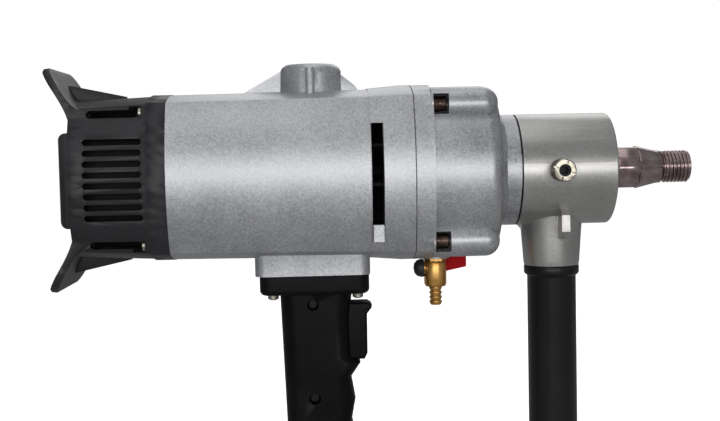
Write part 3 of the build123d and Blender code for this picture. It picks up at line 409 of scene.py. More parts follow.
# Slot, dark and light colour, metallic, roughness, swing, grain, patch and relief of each.
FINISHES: Tuple[Finish, ...] = (
    FlakePaint(
        "silver_paint", (0.30, 0.305, 0.315), (0.66, 0.665, 0.68),
        0.78, 0.40, 0.10, 0.7, 40.0, 0.012,
    ),
    FlakePaint(
        "cast_silver", (0.33, 0.325, 0.31), (0.62, 0.61, 0.59), 0.88, 0.33, 0.06, 0.5, 30.0, 0.006,
        glint_contrast=0.14,
    ),
    HighlightStreakPlastic(
        "black_plastic", (0.010, 0.010, 0.012), (0.024, 0.024, 0.027),
        0.0, 0.46, 0.07, 0.45, 30.0, 0.03,
    ),
    Finish(
        "grip_plastic", (0.0025, 0.0025, 0.003), (0.007, 0.007, 0.008),
        0.0, 0.36, 0.06, 0.6, 26.0, 0.012,
        level=0.12,
    ),
    Finish(
        "fan_plastic", (0.006, 0.006, 0.007), (0.014, 0.014, 0.015),
        0.0, 0.6, 0.06, 0.6, 20.0, 0.02,
        level=0.15,
    ),
    Finish(
        "rubber", (0.004, 0.004, 0.0045), (0.011, 0.011, 0.012), 0.0, 0.34, 0.07, 0.8, 40.0, 0.015,
        stretch=(1, 1, 0.3), level=0.3,
    ),
    Finish(
        "gasket_paper", (0.03, 0.028, 0.025), (0.07, 0.06, 0.05),
        0.0, 0.8, 0.05, 0.3, 12.0, 0.03,
    ),
    Finish("insulator", (0.22, 0.13, 0.07), (0.36, 0.24, 0.14), 0.0, 0.45, 0.06, 0.5, 14.0, 0.01),
    Finish("carbon", (0.02, 0.02, 0.022), (0.06, 0.06, 0.065), 0.1, 0.5, 0.08, 0.25, 6.0, 0.01),
    WornMetal(
        "nickel_steel", (0.30, 0.27, 0.22), (0.58, 0.54, 0.46), 1.0, 0.27, 0.08, 0.3, 5.0, 0.006,
        amount=0.34,
    ),
    WornMetal(
        "dark_steel", (0.045, 0.032, 0.026), (0.15, 0.10, 0.08), 1.0, 0.36, 0.1, 0.3, 5.0, 0.01,
        rubbed=(0.30, 0.24, 0.20), amount=0.4,
    ),
    Finish(
        "black_steel", (0.012, 0.012, 0.013), (0.03, 0.03, 0.032), 0.3, 0.5, 0.08, 0.3, 5.0, 0.01,
        level=0.3,
    ),
    Finish(
        "steel", (0.42, 0.42, 0.43), (0.62, 0.62, 0.63), 1.0, 0.3, 0.08, 0.25, 12.0, 0.004,
        stretch=(1, 0.2, 0.2),
    ),
    WornMetal(
        "spindle_steel", (0.24, 0.165, 0.16), (0.56, 0.47, 0.46),
        1.0, 0.20, 0.08, 0.35, 12.0, 0.008,
        rubbed=(0.66, 0.59, 0.58), amount=0.36,
    ),
    Wound(
        "laminations", (0.07, 0.07, 0.075), (0.24, 0.24, 0.26),
        0.7, 0.45, 0.08, 0.5, 10.0, 0.03, band=0.9,
    ),
    Wound("copper", (0.20, 0.07, 0.03), (0.62, 0.27, 0.12), 0.9, 0.32, 0.08, 0.4, 8.0, 0.08),
    WornMetal(
        "brass", (0.60, 0.29, 0.07), (0.87, 0.51, 0.16), 0.92, 0.32, 0.10, 0.35, 6.0, 0.010,
        rubbed=(0.95, 0.70, 0.34), amount=0.40,
    ),
    Finish("chrome", (0.70, 0.71, 0.72), (0.84, 0.85, 0.86), 1.0, 0.08, 0.03, 0.3, 12.0, 0.002),
    Finish(
        "red_plastic", (0.40, 0.0, 0.003), (0.58, 0.001, 0.005), 0.0, 0.46, 0.06, 0.5, 8.0, 0.012,
        level=0.1,
    ),
)


# ---------------------------------------------------------------- mesh helpers


def smooth_shaded(mesh: bpy.types.Mesh, angle: float = SHARP) -> None:
    """Shades a mesh smooth and keeps edges above the angle sharp."""
    mesh.shade_smooth()
    mesh.set_sharp_from_angle(angle=math.radians(angle))


def plain(obj: bpy.types.Object) -> bpy.types.Mesh:
    """The evaluated mesh of an object as plain data.

    Args:
        obj: Object with live modifiers.

    Returns:
        A mesh without modifiers.
    """
    graph = bpy.context.evaluated_depsgraph_get()
    return bpy.data.meshes.new_from_object(obj.evaluated_get(graph), depsgraph=graph)


def placed(mesh: bpy.types.Mesh, name: str) -> bpy.types.Object:
    """Links a mesh to the scene at the origin under a piece's name."""
    mesh.name = name
    obj = bpy.data.objects.new(name, mesh)
    bpy.context.scene.collection.objects.link(obj)
    return obj


def cad_form(node: str, weld: float = 0.002) -> bmesh.types.BMesh:
    """A welded copy of a frame node's mesh.

    Args:
        node: Name of the node.
        weld: Distance in millimetres under which points are one.

    Returns:
        The copy, which the caller frees.
    """
    form = bmesh.new()
    form.from_mesh(frame["nodes"][node].data)
    bmesh.ops.remove_doubles(form, verts=form.verts, dist=weld * MM)
    return form


def finished(form: bmesh.types.BMesh, name: str) -> bpy.types.Object:
    """Writes a form to a new object and frees it."""
    mesh = bpy.data.meshes.new(name)
    form.to_mesh(mesh)
    form.free()
    return placed(mesh, name)


def bevelled(
    obj: bpy.types.Object, width: float, segments: int = 2, angle: float = SHARP
) -> bpy.types.Object:
    """Rounds the sharp edges of an object for good.

    Args:
        obj: Object to change.
        width: Bevel width in millimetres.
        segments: Steps across the bevel.
        angle: Edges sharper than this are rounded.

    Returns:
        The same object with the bevel in its mesh.
    """
    smooth_shaded(obj.data, angle)
    bevel = obj.modifiers.new("edges", "BEVEL")
    bevel.width = width * MM
    bevel.segments = segments
    bevel.limit_method = "ANGLE"
    bevel.angle_limit = math.radians(angle)
    bevel.use_clamp_overlap = True
    bevel.harden_normals = True
    mesh = plain(obj)
    obj.modifiers.clear()
    obj.data = mesh
    mesh.name = obj.name
    return obj


def bar(name: str, along: Span, across: Span, up: Span, edge: float) -> bpy.types.Object:
    """A bar with rounded edges.

    Args:
        name: Name of the piece.
        along: Its two ends in X, in millimetres.
        across: Its two sides in Y.
        up: Its two levels in Z.
        edge: Bevel width.

    Returns:
        The bar.
    """
    form = bmesh.new()
    bmesh.ops.create_cube(form, size=1.0)
    spans = (along, across, up)
    for vert in form.verts:
        vert.co = Vector([span[int(value > 0)] * MM for span, value in zip(spans, vert.co)])
    bmesh.ops.recalc_face_normals(form, faces=form.faces)
    return bevelled(finished(form, name), edge, 3)


def pocketed(obj: bpy.types.Object, seeds: Sequence[Point], radius: float, length: float) -> None:
    """Cuts round pockets along X into a piece.

    Args:
        obj: Piece to cut.
        seeds: Centres of the pockets in millimetres.
        radius: Radius of a pocket.
        length: Length of a pocket.
    """
    form = bmesh.new()
    wide = radius * MM
    size = {"segments": 40, "radius1": wide, "radius2": wide, "depth": length * MM}
    for seed in seeds:
        place = Matrix.Translation(Vector(seed) * MM) @ Matrix.Rotation(math.pi / 2.0, 4, "Y")
        bmesh.ops.create_cone(form, cap_ends=True, matrix=place, **size)
    cutter = finished(form, "pocket_cutter")
    cut = obj.modifiers.new("pockets", "BOOLEAN")
    cut.operation = "DIFFERENCE"
    cut.solver = "EXACT"
    cut.object = cutter
    mesh = plain(obj)
    obj.modifiers.clear()
    obj.data = mesh
    mesh.name = obj.name
    bpy.data.objects.remove(cutter)


# --------------------------------------------------------------- grown details


class Grower:
    """A Geometry Nodes tree with named sizes that ends in realised, finished geometry."""

    def __init__(self, name: str, sizes: Sequence[str], vectors: Sequence[str] = ()) -> None:
        """Makes the tree's sockets.

        Args:
            name: Name of the tree.
            sizes: Names of its number inputs.
            vectors: Names of its vector inputs.
        """
        self.tree = bpy.data.node_groups.new(name, "GeometryNodeTree")
        face = self.tree.interface
        face.new_socket("Geometry", in_out="INPUT", socket_type="NodeSocketGeometry")
        for size in sizes:
            face.new_socket(size, in_out="INPUT", socket_type="NodeSocketFloat")
        for vector in vectors:
            face.new_socket(vector, in_out="INPUT", socket_type="NodeSocketVector")
        face.new_socket("Finish", in_out="INPUT", socket_type="NodeSocketMaterial")
        face.new_socket("Geometry", in_out="OUTPUT", socket_type="NodeSocketGeometry")
        self.sheet = NodeSheet(self.tree)
        self.source = self.tree.nodes.new("NodeGroupInput")

    def size(self, name: str) -> Wire:
        """The socket of a named input."""
        return Wire(self.sheet, self.source.outputs[name])

    def close(self, geometry: Wire) -> None:
        """Realises the geometry, gives it the finish and sends it out."""
        real = self.sheet.add("GeometryNodeRealizeInstances", None, {0: geometry})
        values = {"Geometry": real, "Material": self.size("Finish")}
        done = self.sheet.add("GeometryNodeSetMaterial", None, values)
        self.sheet.add("NodeGroupOutput", None, {"Geometry": done})

    def grow(
        self, name: str, seeds: Sequence[Point], sizes: Dict[str, Any], finish: bpy.types.Material
    ) -> bpy.types.Object:
        """Runs the tree and keeps its result as a plain mesh.

        Args:
            name: Name of the piece.
            seeds: Points in millimetres that the tree starts from.
            sizes: Values by input name, lengths in metres.
            finish: Material of the result.

        Returns:
            The new piece.
        """
        mesh = bpy.data.meshes.new(name)
        mesh.from_pydata([tuple(v * MM for v in seed) for seed in seeds], [], [])
        obj = placed(mesh, name)
        modifier = obj.modifiers.new("grow", "NODES")
        modifier.node_group = self.tree
        values = {**sizes, "Finish": finish}
        for item in self.tree.interface.items_tree:
            if item.in_out == "INPUT" and item.name in values:
                modifier[item.identifier] = values[item.name]
        result = plain(obj)
        obj.modifiers.clear()
        obj.data = result
        result.name = name
        return obj


class ScrewGrower(Grower):
    """Puts a screw head with a real recess, and its shank, on every seed."""

    ROUND = 36
    SIDE_STEPS = 3
    TOP_STEPS = 5
    SHANK_ROUND = 24
    SEED = 7
    TURN = 1.5

    def __init__(self) -> None:
        """Builds the tree."""
        names = ("Radius", "Height", "Dome", "Recess", "Width", "Depth", "Shank", "Reach")
        super().__init__("screw_cross", names, ("Axis",))
        add = self.sheet.add
        size = self.size
        steps = {
            "Vertices": self.ROUND, "Side Segments": self.SIDE_STEPS,
            "Fill Segments": self.TOP_STEPS,
        }
        values = {**steps, "Radius": size("Radius"), "Depth": size("Height")}
        head = add("GeometryNodeMeshCylinder", {"fill_type": "TRIANGLE_FAN"}, values)
        place = add("GeometryNodeInputPosition")
        values = {0: place, 1: (1.0, 1.0, 0.0)}
        flat = add("ShaderNodeVectorMath", {"operation": "MULTIPLY"}, values)
        far = add("ShaderNodeVectorMath", {"operation": "LENGTH"}, {0: flat}, "Value")
        out = far / size("Radius")
        high = add("ShaderNodeSeparateXYZ", None, {0: place}, 2) / size("Height") + 0.5
        lift = (1.0 - out * out) * high * size("Dome")
        rise = add("ShaderNodeCombineXYZ", None, {2: lift + size("Height") * 0.5})
        head = add("GeometryNodeSetPosition", None, {"Geometry": head, "Offset": rise})
        deep = size("Height") + size("Dome") - size("Depth") * 0.5
        down = add("ShaderNodeCombineXYZ", None, {2: deep})
        for cutter in self.cutters():
            moved = add("GeometryNodeTransform", None, {"Geometry": cutter, "Translation": down})
            settings = {"operation": "DIFFERENCE", "solver": "EXACT"}
            head = add("GeometryNodeMeshBoolean", settings, {0: head, 1: moved})
        values = {"Vertices": self.SHANK_ROUND, "Radius": size("Shank"), "Depth": size("Reach")}
        core = add("GeometryNodeMeshCylinder", None, values)
        drop = add("ShaderNodeCombineXYZ", None, {2: size("Reach") * -0.5})
        core = add("GeometryNodeTransform", None, {"Geometry": core, "Translation": drop})
        joined = add("GeometryNodeJoinGeometry", None, {0: head})
        self.tree.links.new(core.socket, joined.socket.node.inputs[0])
        turn = add("FunctionNodeAlignRotationToVector", {"axis": "Z"}, {"Vector": size("Axis")})
        draw = {"Min": 0.0, "Max": self.TURN, "Seed": self.SEED}
        spin = add("FunctionNodeRandomValue", {"data_type": "FLOAT"}, draw, 1)
        own = add("FunctionNodeAxisAngleToRotation", None, {"Axis": (0.0, 0.0, 1.0), "Angle": spin})
        facing = add("FunctionNodeRotateRotation", {"rotation_space": "LOCAL"}, {0: turn, 1: own})
        values = {"Points": size("Geometry"), "Instance": joined, "Rotation": facing}
        self.close(add("GeometryNodeInstanceOnPoints", None, values))

    def cutters(self) -> List[Wire]:
        """Solids that cut the recess.

        Returns:
            Two crossed bars.
        """
        add = self.sheet.add
        size = self.size
        bars = []
        for first, second in (("Recess", "Width"), ("Width", "Recess")):
            sides = {0: size(first) * 2.0, 1: size(second) * 2.0, 2: size("Depth")}
            box = add("ShaderNodeCombineXYZ", None, sides)
            bars.append(add("GeometryNodeMeshCube", None, {"Size": box}))
        return bars


class ThreadGrower(Grower):
    """A round thread along X, as a height over a tube."""

    ALONG = 150
    AROUND = 72
    FLANK = (0.10, 0.85)
    PHASE = 8.0
    END = 0.001
    WELD = 0.000005

    def __init__(self) -> None:
        """Builds the tree."""
        super().__init__("thread", ("Length", "Crest", "Depth", "Pitch", "Core", "Ease"))
        add = self.sheet.add
        size = self.size
        values = {
            "Size X": 1.0, "Size Y": 1.0, "Vertices X": self.ALONG, "Vertices Y": self.AROUND + 1,
        }
        tube = add("GeometryNodeMeshGrid", None, values)
        place = add("GeometryNodeInputPosition")
        share = add("ShaderNodeSeparateXYZ", None, {0: place}, 0) + 0.5
        turn = add("ShaderNodeSeparateXYZ", None, {0: place}, 1)
        along = share * size("Length")
        phase = (along / size("Pitch") - turn + self.PHASE).of("FRACT")
        valley = ((phase - 0.5).of("ABSOLUTE") * 2.0).between(*self.FLANK)
        edge = share.of("MINIMUM", 1.0 - share)
        lead_in = (edge * size("Length") / size("Ease")).between(0.0, 1.0)
        outer = size("Crest") - size("Depth") * (1.0 - valley * lead_in)
        radius = size("Core") + (outer - size("Core")) * edge.of("GREATER_THAN", self.END)
        angle = turn * (2.0 * math.pi)
        across, up = radius * angle.of("COSINE"), radius * angle.of("SINE")
        rim = add("ShaderNodeCombineXYZ", None, {0: along, 1: across, 2: up})
        tube = add("GeometryNodeSetPosition", None, {"Geometry": tube, "Position": rim})
        values = {"Geometry": tube, "Distance": self.WELD}
        self.close(add("GeometryNodeMergeByDistance", None, values))


# -------------------------------------------------------------- sub-assemblies


class Workshop:
    """Holds the materials and turns frame nodes into finished pieces."""

    SCREW_SHARP = 35.0
    LEVEL = 0.5

    def __init__(self) -> None:
        """Makes every finish once."""
        self.materials = {finish.slot: finish.make() for finish in FINISHES}
        self.slots = {part["node"]: part["material_slot"] for part in frame["record"]["subparts"]}
        self.bodies = {name: obj["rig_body"] for name, obj in frame["nodes"].items()}
        self.shown: List[bpy.types.Object] = []
        self.screw_grower: Optional[ScrewGrower] = None

    def coat(self, node: str, slot: Optional[str] = None) -> None:
        """Gives a frame node that stays in view its finish, or another one by name."""
        obj = frame["nodes"][node]
        material = self.materials[slot or self.slots[node]]
        if not obj.material_slots:
            obj.data.materials.append(material)
        for seat in obj.material_slots:
            seat.material = material

    def keep(self, obj: bpy.types.Object, node: str, *more: str) -> bpy.types.Object:
        """Lets a new piece stand for frame nodes.

        Args:
            obj: The new piece, with its place in its mesh.
            node: Node whose finish and body it takes.
            *more: Further nodes that it stands for.

        Returns:
            The piece.
        """
        slot = self.slots[node]
        if not obj.data.materials:
            obj.data.materials.append(self.materials[slot])
        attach(obj, self.bodies[node])
        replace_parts(obj, node, *more)
        self.shown.append(obj)
        LOG.info("%s: %d faces", obj.name, len(obj.data.polygons))
        return obj

    def add(self, obj: bpy.types.Object, slot: str, body: str) -> bpy.types.Object:
        """Lets a piece that stands for no node ride on a body.

        Args:
            obj: The new piece, with its place in its mesh.
            slot: Its finish.
            body: Frame body that it moves with.

        Returns:
            The piece.
        """
        if not obj.data.materials:
            obj.data.materials.append(self.materials[slot])
        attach(obj, body)
        return obj

    def screws(
        self, name: str, seeds: Sequence[Point], sizes: Dict[str, float], axis: Point, slot: str,
    ) -> bpy.types.Object:
        """Grows a set of equal screws.

        Args:
            name: Name of the piece.
            seeds: Where the heads sit, in millimetres.
            sizes: Head and shank sizes in millimetres.
            axis: Direction that the heads face.
            slot: Finish of the screws.

        Returns:
            The piece, not yet riding on a body.
        """
        if self.screw_grower is None:
            self.screw_grower = ScrewGrower()
        values = {key: value * MM for key, value in sizes.items()}
        obj = self.screw_grower.grow(name, seeds, {**values, "Axis": axis}, self.materials[slot])
        smooth_shaded(obj.data, self.SCREW_SHARP)
        return obj

    def soften(self, node: str, name: str, width: float, segments: int = 2) -> bpy.types.Object:
        """Rounds the edges of a frame node as a new piece.

        Args:
            node: Frame node to copy.
            name: Name of the piece.
            width: Bevel width in millimetres.
            segments: Steps across the bevel.

        Returns:
            The piece that stands for the node.
        """
        form = cad_form(node)
        level = math.radians(self.LEVEL)
        bmesh.ops.dissolve_limit(form, angle_limit=level, verts=form.verts, edges=form.edges)
        obj = bevelled(finished(form, name), width, segments)
        obj.data.materials.clear()
        return self.keep(obj, node)


@dataclass
class Casings:
    """Painted castings of the motor and the gear train, with their bolts and the slot sills."""

    sill: Tuple[Span, ...] = ((-202.2, -194.8), (49.0, 52.8), (-43.5, -32.0))
    sill_edge: float = 0.5
    edges: Tuple[Tuple[str, str, float, int], ...] = (
        ("motor_housing", "motor_housing_casting", 1.0, 3),
        ("fan_housing", "fan_housing_casting", 0.7, 3),
        ("gear_case", "gear_case_casting", 1.1, 3),
        ("gear_case_bolts", "case_bolts_with_washers", 0.3, 2),
    )

    def build(self, shop: Workshop) -> None:
        """Rounds the castings' edges and sets the sills of the exhaust slots."""
        for row in self.edges:
            shop.soften(*row)
        along, across, up = self.sill
        for side, name in ((-1.0, "right_slot_sill"), (1.0, "left_slot_sill")):
            sill = bar(name, along, (side * across[0], side * across[1]), up, self.sill_edge)
            shop.add(sill, "silver_paint", "housing")

    def dress(self, shop: Workshop) -> None:
        """Finishes the seals, which stay as the frame has them."""
        for node in ("case_gasket", "neck_ring"):
            shop.coat(node)


@dataclass
class RearCover:
    """Black rear cover with its cooling slots, stand fins, screws and dust screen."""

    screw_x: float = -348.6
    screw_y: float = 41.2
    screw_z: float = 42.6
    screw: Dict[str, float] = field(
        default_factory=lambda: {
            "Radius": 3.3, "Height": 1.5, "Dome": 1.1, "Recess": 1.9, "Width": 0.45, "Depth": 1.7,
            "Shank": 1.95, "Reach": 30.0,
        }
    )
    pocket_back: float = 3.9
    pocket_gap: float = 0.9
    pocket_length: float = 8.0
    sharp: float = 35.0
    rib_x: Span = (-391.0, -347.5)
    rib_y: Span = (-0.8, 0.8)
    rib_z: Span = (36.5, 46.5)
    rib_edge: float = 0.3
    screen_half: float = 36.0
    screen_tall: float = 1.1
    screen_x: Span = (-389.0, -346.5)
    screen_outer: Span = (0.97, 1.0)
    screen_inner: Span = (0.935, 0.965)
    squareness: int = 4
    sides: int = 48

    def build(self, shop: Workshop) -> None:
        """Rounds the cover's edges, grows its screws and lines it with a dust screen."""
        shell = shop.soften("rear_cover", "rear_cover_shell", 0.9, 2)
        seeds = [
            (self.screw_x, y * self.screw_y, z * self.screw_z) for y in (-1, 1) for z in (-1, 1)
        ]
        pockets = [(self.screw_x - self.pocket_back, y, z) for _, y, z in seeds]
        pocketed(shell, pockets, self.screw["Radius"] + self.pocket_gap, self.pocket_length)
        smooth_shaded(shell.data, self.sharp)
        for sign, name in ((1.0, "upper_screen_rib"), (-1.0, "lower_screen_rib")):
            levels = (sign * self.rib_z[0], sign * self.rib_z[1])
            rib = bar(name, self.rib_x, self.rib_y, levels, self.rib_edge)
            shop.add(rib, "fan_plastic", "housing")
        screws = shop.screws("cover_screws", seeds, self.screw, (-1.0, 0.0, 0.0), "nickel_steel")
        shop.keep(screws, "rear_cover_screws")
        shop.add(self.screen(), "fan_plastic", "housing")

    def ring(self, form: bmesh.types.BMesh, x: float, scale: float) -> List[bmesh.types.BMVert]:
        """Points round one rim of the dust screen.

        Args:
            form: Where the points go.
            x: Station in millimetres.
            scale: Share of the screen's full reach.

        Returns:
            The points in order.
        """
        points = []
        power = self.squareness
        for step in range(self.sides):
            turn = 2.0 * math.pi * step / self.sides
            corner = (abs(math.cos(turn)) ** power + abs(math.sin(turn)) ** power) ** (1.0 / power)
            reach = self.screen_half * scale / corner
            across, up = reach * math.cos(turn) * MM, reach * math.sin(turn) * self.screen_tall * MM
            points.append(form.verts.new((x * MM, across, up)))
        return points

    def screen(self) -> bpy.types.Object:
        """The dust screen, a squarish closed sleeve behind the slots."""
        (rear, front), outer, inner = self.screen_x, self.screen_outer, self.screen_inner
        form = bmesh.new()
        stations = ((rear, outer[0]), (front, outer[1]), (front, inner[1]), (rear, inner[0]))
        rings = [self.ring(form, x, scale) for x, scale in stations]
        for first, second in zip(rings, rings[1:] + rings[:1]):
            for step in range(self.sides):
                after = (step + 1) % self.sides
                form.faces.new((first[step], first[after], second[after], second[step]))
        bmesh.ops.recalc_face_normals(form, faces=form.faces)
        screen = finished(form, "dust_screen")
        smooth_shaded(screen.data)
        return screen

    def dress(self, shop: Workshop) -> None:
        """Nothing of the cover stays as the frame has it."""


@dataclass
class Spindle:
    """Output shaft with its thread. Lengths are in millimetres."""

    crest: float = 11.0
    depth: float = 1.45
    pitch: float = 2.5
    bore: float = 4.0
    root: float = -0.05
    rim: float = 1.0
    under: float = 0.4
    setback: float = 0.3
    bore_gap: float = 0.05
    ease: float = 1.1
    shaft_sharp: float = 25.0
    thread_sharp: float = 50.0

    def build(self, shop: Workshop) -> None:
        """Turns the thread's length down and grows a real thread over it."""
        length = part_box("spindle")[1].x
        form = cad_form("spindle")
        for vert in form.verts:
            far = math.hypot(vert.co.y, vert.co.z)
            if vert.co.x > self.root * MM and far > (self.bore + self.rim) * MM:
                shrink = (self.crest - self.depth - self.under) * MM / far
                vert.co.y *= min(shrink, 1.0)
                vert.co.z *= min(shrink, 1.0)
                vert.co.x = min(vert.co.x, length - self.setback * MM)
        shaft = finished(form, "spindle_shaft")
        smooth_shaded(shaft.data, self.shaft_sharp)
        shaft.data.materials.clear()
        shop.keep(shaft, "spindle")
        sizes = {
            "Length": length,
            "Crest": self.crest * MM,
            "Depth": self.depth * MM,
            "Pitch": self.pitch * MM,
            "Core": (self.bore + self.bore_gap) * MM,
            "Ease": self.ease * MM,
        }
        steel = shop.materials["spindle_steel"]
        thread = ThreadGrower().grow("spindle_thread", [(0.0, 0.0, 0.0)], sizes, steel)
        form = bmesh.new()
        form.from_mesh(thread.data)
        rims = [edge for edge in form.edges if edge.is_boundary]
        bmesh.ops.bridge_loops(form, edges=rims)
        bmesh.ops.recalc_face_normals(form, faces=form.faces)
        form.to_mesh(thread.data)
        form.free()
        smooth_shaded(thread.data, self.thread_sharp)
        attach(thread, "spindle")

    def dress(self, shop: Workshop) -> None:
        """Nothing of the shaft stays as the frame has it."""


@dataclass
class SideHandle:
    """Turning collar with its rubber-covered handle, lock ring and lock screw."""

    edges: Tuple[Tuple[str, str, float, int], ...] = (
        ("handle_collar", "handle_collar_casting", 0.8, 3),
        ("handle_grip", "handle_sleeve", 0.5, 2),
        ("handle_end_cap", "handle_foot", 0.5, 2),
    )
    ring_edge: float = 0.25
    # Faces whose normal Y lies below this keep the bright finish; the rest get painted shade.
    painted_shade_normal_y: float = -0.35

    def build(self, shop: Workshop) -> None:
        """Rounds the edges, and paints shade on the lock ring: every face but the outer one gets
        dark steel, which also stands for the black oxide of its side.
        """
        for row in self.edges:
            shop.soften(*row)
        ring = shop.soften("lock_ring", "lock_ring_turned", self.ring_edge)
        ring.data.materials.append(shop.materials["dark_steel"])
        # Painted shade: faces that turn away from the front take dark steel.
        for face in ring.data.polygons:
            face.material_index = 0 if face.normal.y < self.painted_shade_normal_y else 1

    def dress(self, shop: Workshop) -> None:
        """Finishes the tube and the screw."""
        shop.coat("handle_tube")
        shop.coat("lock_screw", "black_steel")


@dataclass
class PistolGrip:
    """Grip with its flange, trigger, cable gland and flange screws."""

    screw_x: Span = (-268.0, -212.0)
    screw_y: float = 25.0
    screw_z: float = -79.0
    screw: Dict[str, float] = field(
        default_factory=lambda: {
            "Radius": 3.6, "Height": 2.2, "Dome": 1.2, "Recess": 2.1, "Width": 0.5, "Depth": 2.0,
            "Shank": 2.2, "Reach": 24.0,
        }
    )
    edges: Tuple[Tuple[str, str, float, int], ...] = (
        ("left_grip_shell", "left_grip_moulding", 0.7, 2),
        ("right_grip_shell", "right_grip_moulding", 0.7, 2),
        ("grip_flange", "grip_flange_moulding", 0.8, 2),
        ("trigger", "trigger_moulding", 0.6, 2),
        ("cable_gland", "gland_sleeve", 0.4, 2),
    )

    def build(self, shop: Workshop) -> None:
        """Rounds the edges of the mouldings and grows the flange screws."""
        for row in self.edges:
            shop.soften(*row)
        seeds = [(x, y, self.screw_z) for x in self.screw_x for y in (-self.screw_y, self.screw_y)]
        screws = shop.screws("flange_screws", seeds, self.screw, (0.0, 0.0, -1.0), "nickel_steel")
        shop.keep(screws, "grip_flange_screws")

    def dress(self, shop: Workshop) -> None:
        """Finishes the shell screws and the switch."""
        for node in ("grip_shell_screws", "switch_body"):
            shop.coat(node)


@dataclass
class WaterValve:
    """Brass water valve with its cap, tail and lever."""

    edges: Tuple[Tuple[str, str, float, int], ...] = (
        ("valve_body", "valve_body_turned", 0.25, 2),
        ("hose_barb", "hose_tail_turned", 0.2, 2),
        ("port_cap", "port_cap_moulding", 0.4, 2),
        ("valve_lever", "valve_lever_dipped", 0.6, 3),
    )

    def build(self, shop: Workshop) -> None:
        """Rounds the edges of the turned pieces, the cap and the lever."""
        for row in self.edges:
            shop.soften(*row)

    def dress(self, shop: Workshop) -> None:
        """Finishes what stays as the frame has it."""
        for node in ("valve_union", "valve_stem", "valve_seats", "valve_ball"):
            shop.coat(node)


@dataclass
class Insides:
    """Motor, gears, clutch and seals, seen only through the slots."""

    dressed: Tuple[str, ...] = ("lock_screw",)

    def build(self, shop: Workshop) -> None:
        """The inner pieces stay as the frame has them."""

    def dress(self, shop: Workshop) -> None:
        """Finishes every node that no piece stands for and that keeps its own finish."""
        done = {node for obj in shop.shown for node in obj["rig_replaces"]} | set(self.dressed)
        for node in frame["nodes"]:
            if node not in done:
                shop.coat(node)


# ---------------------------------------------------------------------- studio


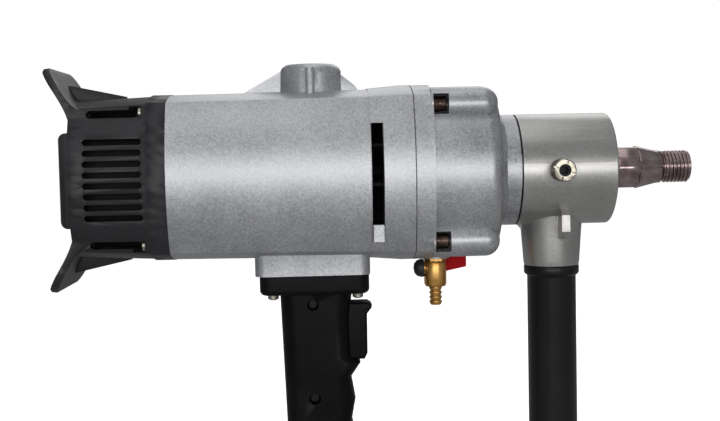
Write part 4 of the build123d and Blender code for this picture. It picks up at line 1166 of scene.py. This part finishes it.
@dataclass
class Studio:
    """Pale floor and backdrop, soft lights and the camera."""

    eye: Point = (-239.1, -760.3, 17.0)
    yaw: float = -0.0404
    pitch: float = 0.0558
    roll: float = -0.0215
    lens: float = 55.7
    sensor: float = 36.0
    floor_gap: float = 3.0
    clip: float = 0.01
    floor_start: float = -3.5
    floor_end: float = 2.2
    curve: float = 0.8
    curve_steps: int = 8
    wall: float = 4.0
    half_width: float = 5.0
    floor_sharp: float = 40.0
    paper: Tuple[Colour, Colour] = ((0.90, 0.90, 0.90), (0.93, 0.93, 0.93))
    paper_patch: float = 400.0
    unseen_paper: Colour = (0.50, 0.50, 0.50)
    glow: float = 0.8
    seen_sky: Colour = (1.0, 1.0, 1.0)
    sky: Colour = (0.27, 0.275, 0.285)
    aim: Point = (-200.0, 0.0, -20.0)
    lights: Tuple[Tuple[str, Point, Span, float], ...] = (
        ("key", (-500.0, -900.0, 900.0), (700.0, 500.0), 1.3),
        ("front", (-180.0, -1150.0, 55.0), (1300.0, 330.0), 4.4),
        ("top", (-150.0, 0.0, 1100.0), (1300.0, 700.0), 2.2),
        ("back", (0.0, 1000.0, 700.0), (1100.0, 700.0), 3.0),
    )

    def camera(self) -> None:
        """Sets the camera at the viewing angle."""
        sy, cy = math.sin(self.yaw), math.cos(self.yaw)
        sp, cp = math.sin(self.pitch), math.cos(self.pitch)
        sr, cr = math.sin(self.roll), math.cos(self.roll)
        ahead = Vector((-sy * cp, cy * cp, -sp))
        lifted = Vector((-sp * sy, sp * cy, cp))
        level = Vector((cy, sy, 0.0))
        right = cr * level + sr * lifted
        upward = -sr * level + cr * lifted
        data = bpy.data.cameras.new("camera")
        data.lens = self.lens
        data.sensor_width = self.sensor
        data.clip_start = self.clip
        data.dof.use_dof = False
        camera = bpy.data.objects.new("camera", data)
        bpy.context.scene.collection.objects.link(camera)
        matrix = Matrix((right, upward, -ahead)).transposed().to_4x4()
        matrix.translation = Vector(self.eye) * MM
        camera.matrix_world = matrix
        bpy.context.scene.camera = camera

    def floor(self) -> None:
        """Lays a pale floor that curves up into a backdrop."""
        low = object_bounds()[0].z - self.floor_gap * MM
        bend, steps = self.curve, self.curve_steps
        rise = [(self.floor_start, 0.0), (self.floor_end, 0.0)]
        for step in range(1, steps + 1):
            turn = step * math.pi / (2 * steps)
            rise.append((self.floor_end + bend * math.sin(turn), bend - bend * math.cos(turn)))
        rise.append((self.floor_end + bend, self.wall))
        form = bmesh.new()
        sides = (-self.half_width, self.half_width)
        rows = [[form.verts.new((x, y, low + z)) for x in sides] for y, z in rise]
        for first, second in zip(rows, rows[1:]):
            form.faces.new((first[0], first[1], second[1], second[0]))
        sheet = finished(form, "floor")
        smooth_shaded(sheet.data, self.floor_sharp)
        material = bpy.data.materials.new("floor_paper")
        material.use_nodes = True
        material.node_tree.nodes.clear()
        nodes = NodeSheet(material.node_tree)
        place = nodes.add("ShaderNodeTexCoord", None, None, "Object")
        seen = nodes.add("ShaderNodeLightPath")
        paper = nodes.mix(nodes.noise(place, self.paper_patch), *self.paper)
        tone = nodes.mix(seen, self.unseen_paper, paper)
        values = {"Base Color": tone, "Roughness": 0.9}
        values.update({"Emission Color": (1, 1, 1, 1), "Emission Strength": seen * self.glow})
        skin = nodes.add("ShaderNodeBsdfPrincipled", None, values)
        nodes.add("ShaderNodeOutputMaterial", None, {"Surface": skin})
        sheet.data.materials.append(material)
        sheet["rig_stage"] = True

    def light(self) -> None:
        """Hangs the soft boxes and sets the even surroundings."""
        target = Vector(self.aim) * MM
        for name, spot, size, power in self.lights:
            data = bpy.data.lights.new(name, "AREA")
            data.shape = "RECTANGLE"
            data.size, data.size_y = (side * MM for side in size)
            data.energy = power
            lamp = bpy.data.objects.new(name, data)
            bpy.context.scene.collection.objects.link(lamp)
            lamp.location = Vector(spot) * MM
            lamp.rotation_euler = (target - lamp.location).to_track_quat("-Z", "Y").to_euler()
        world = bpy.data.worlds.new("surroundings")
        world.use_nodes = True
        world.node_tree.nodes.clear()
        nodes = NodeSheet(world.node_tree)
        tone = nodes.mix(nodes.add("ShaderNodeLightPath"), self.sky, self.seen_sky)
        glow = nodes.add("ShaderNodeBackground", None, {"Color": tone})
        nodes.add("ShaderNodeOutputWorld", None, {"Surface": glow})
        bpy.context.scene.world = world
        bpy.context.scene.view_settings.view_transform = "Standard"

    def build(self) -> None:
        """Makes camera, floor and lights."""
        self.camera()
        self.floor()
        self.light()


def main() -> None:
    """Builds and dresses every sub-assembly, then the studio."""
    logging.basicConfig(level=logging.INFO, format="%(name)s %(message)s")
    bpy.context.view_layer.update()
    shop = Workshop()
    parts = (Casings(), RearCover(), Spindle(), SideHandle(), PistolGrip(), WaterValve(), Insides())
    for part in parts:
        part.build(shop)
        part.dress(shop)
        LOG.info("%s done", type(part).__name__)
    Studio().build()


if __name__ == "__main__":
    main()
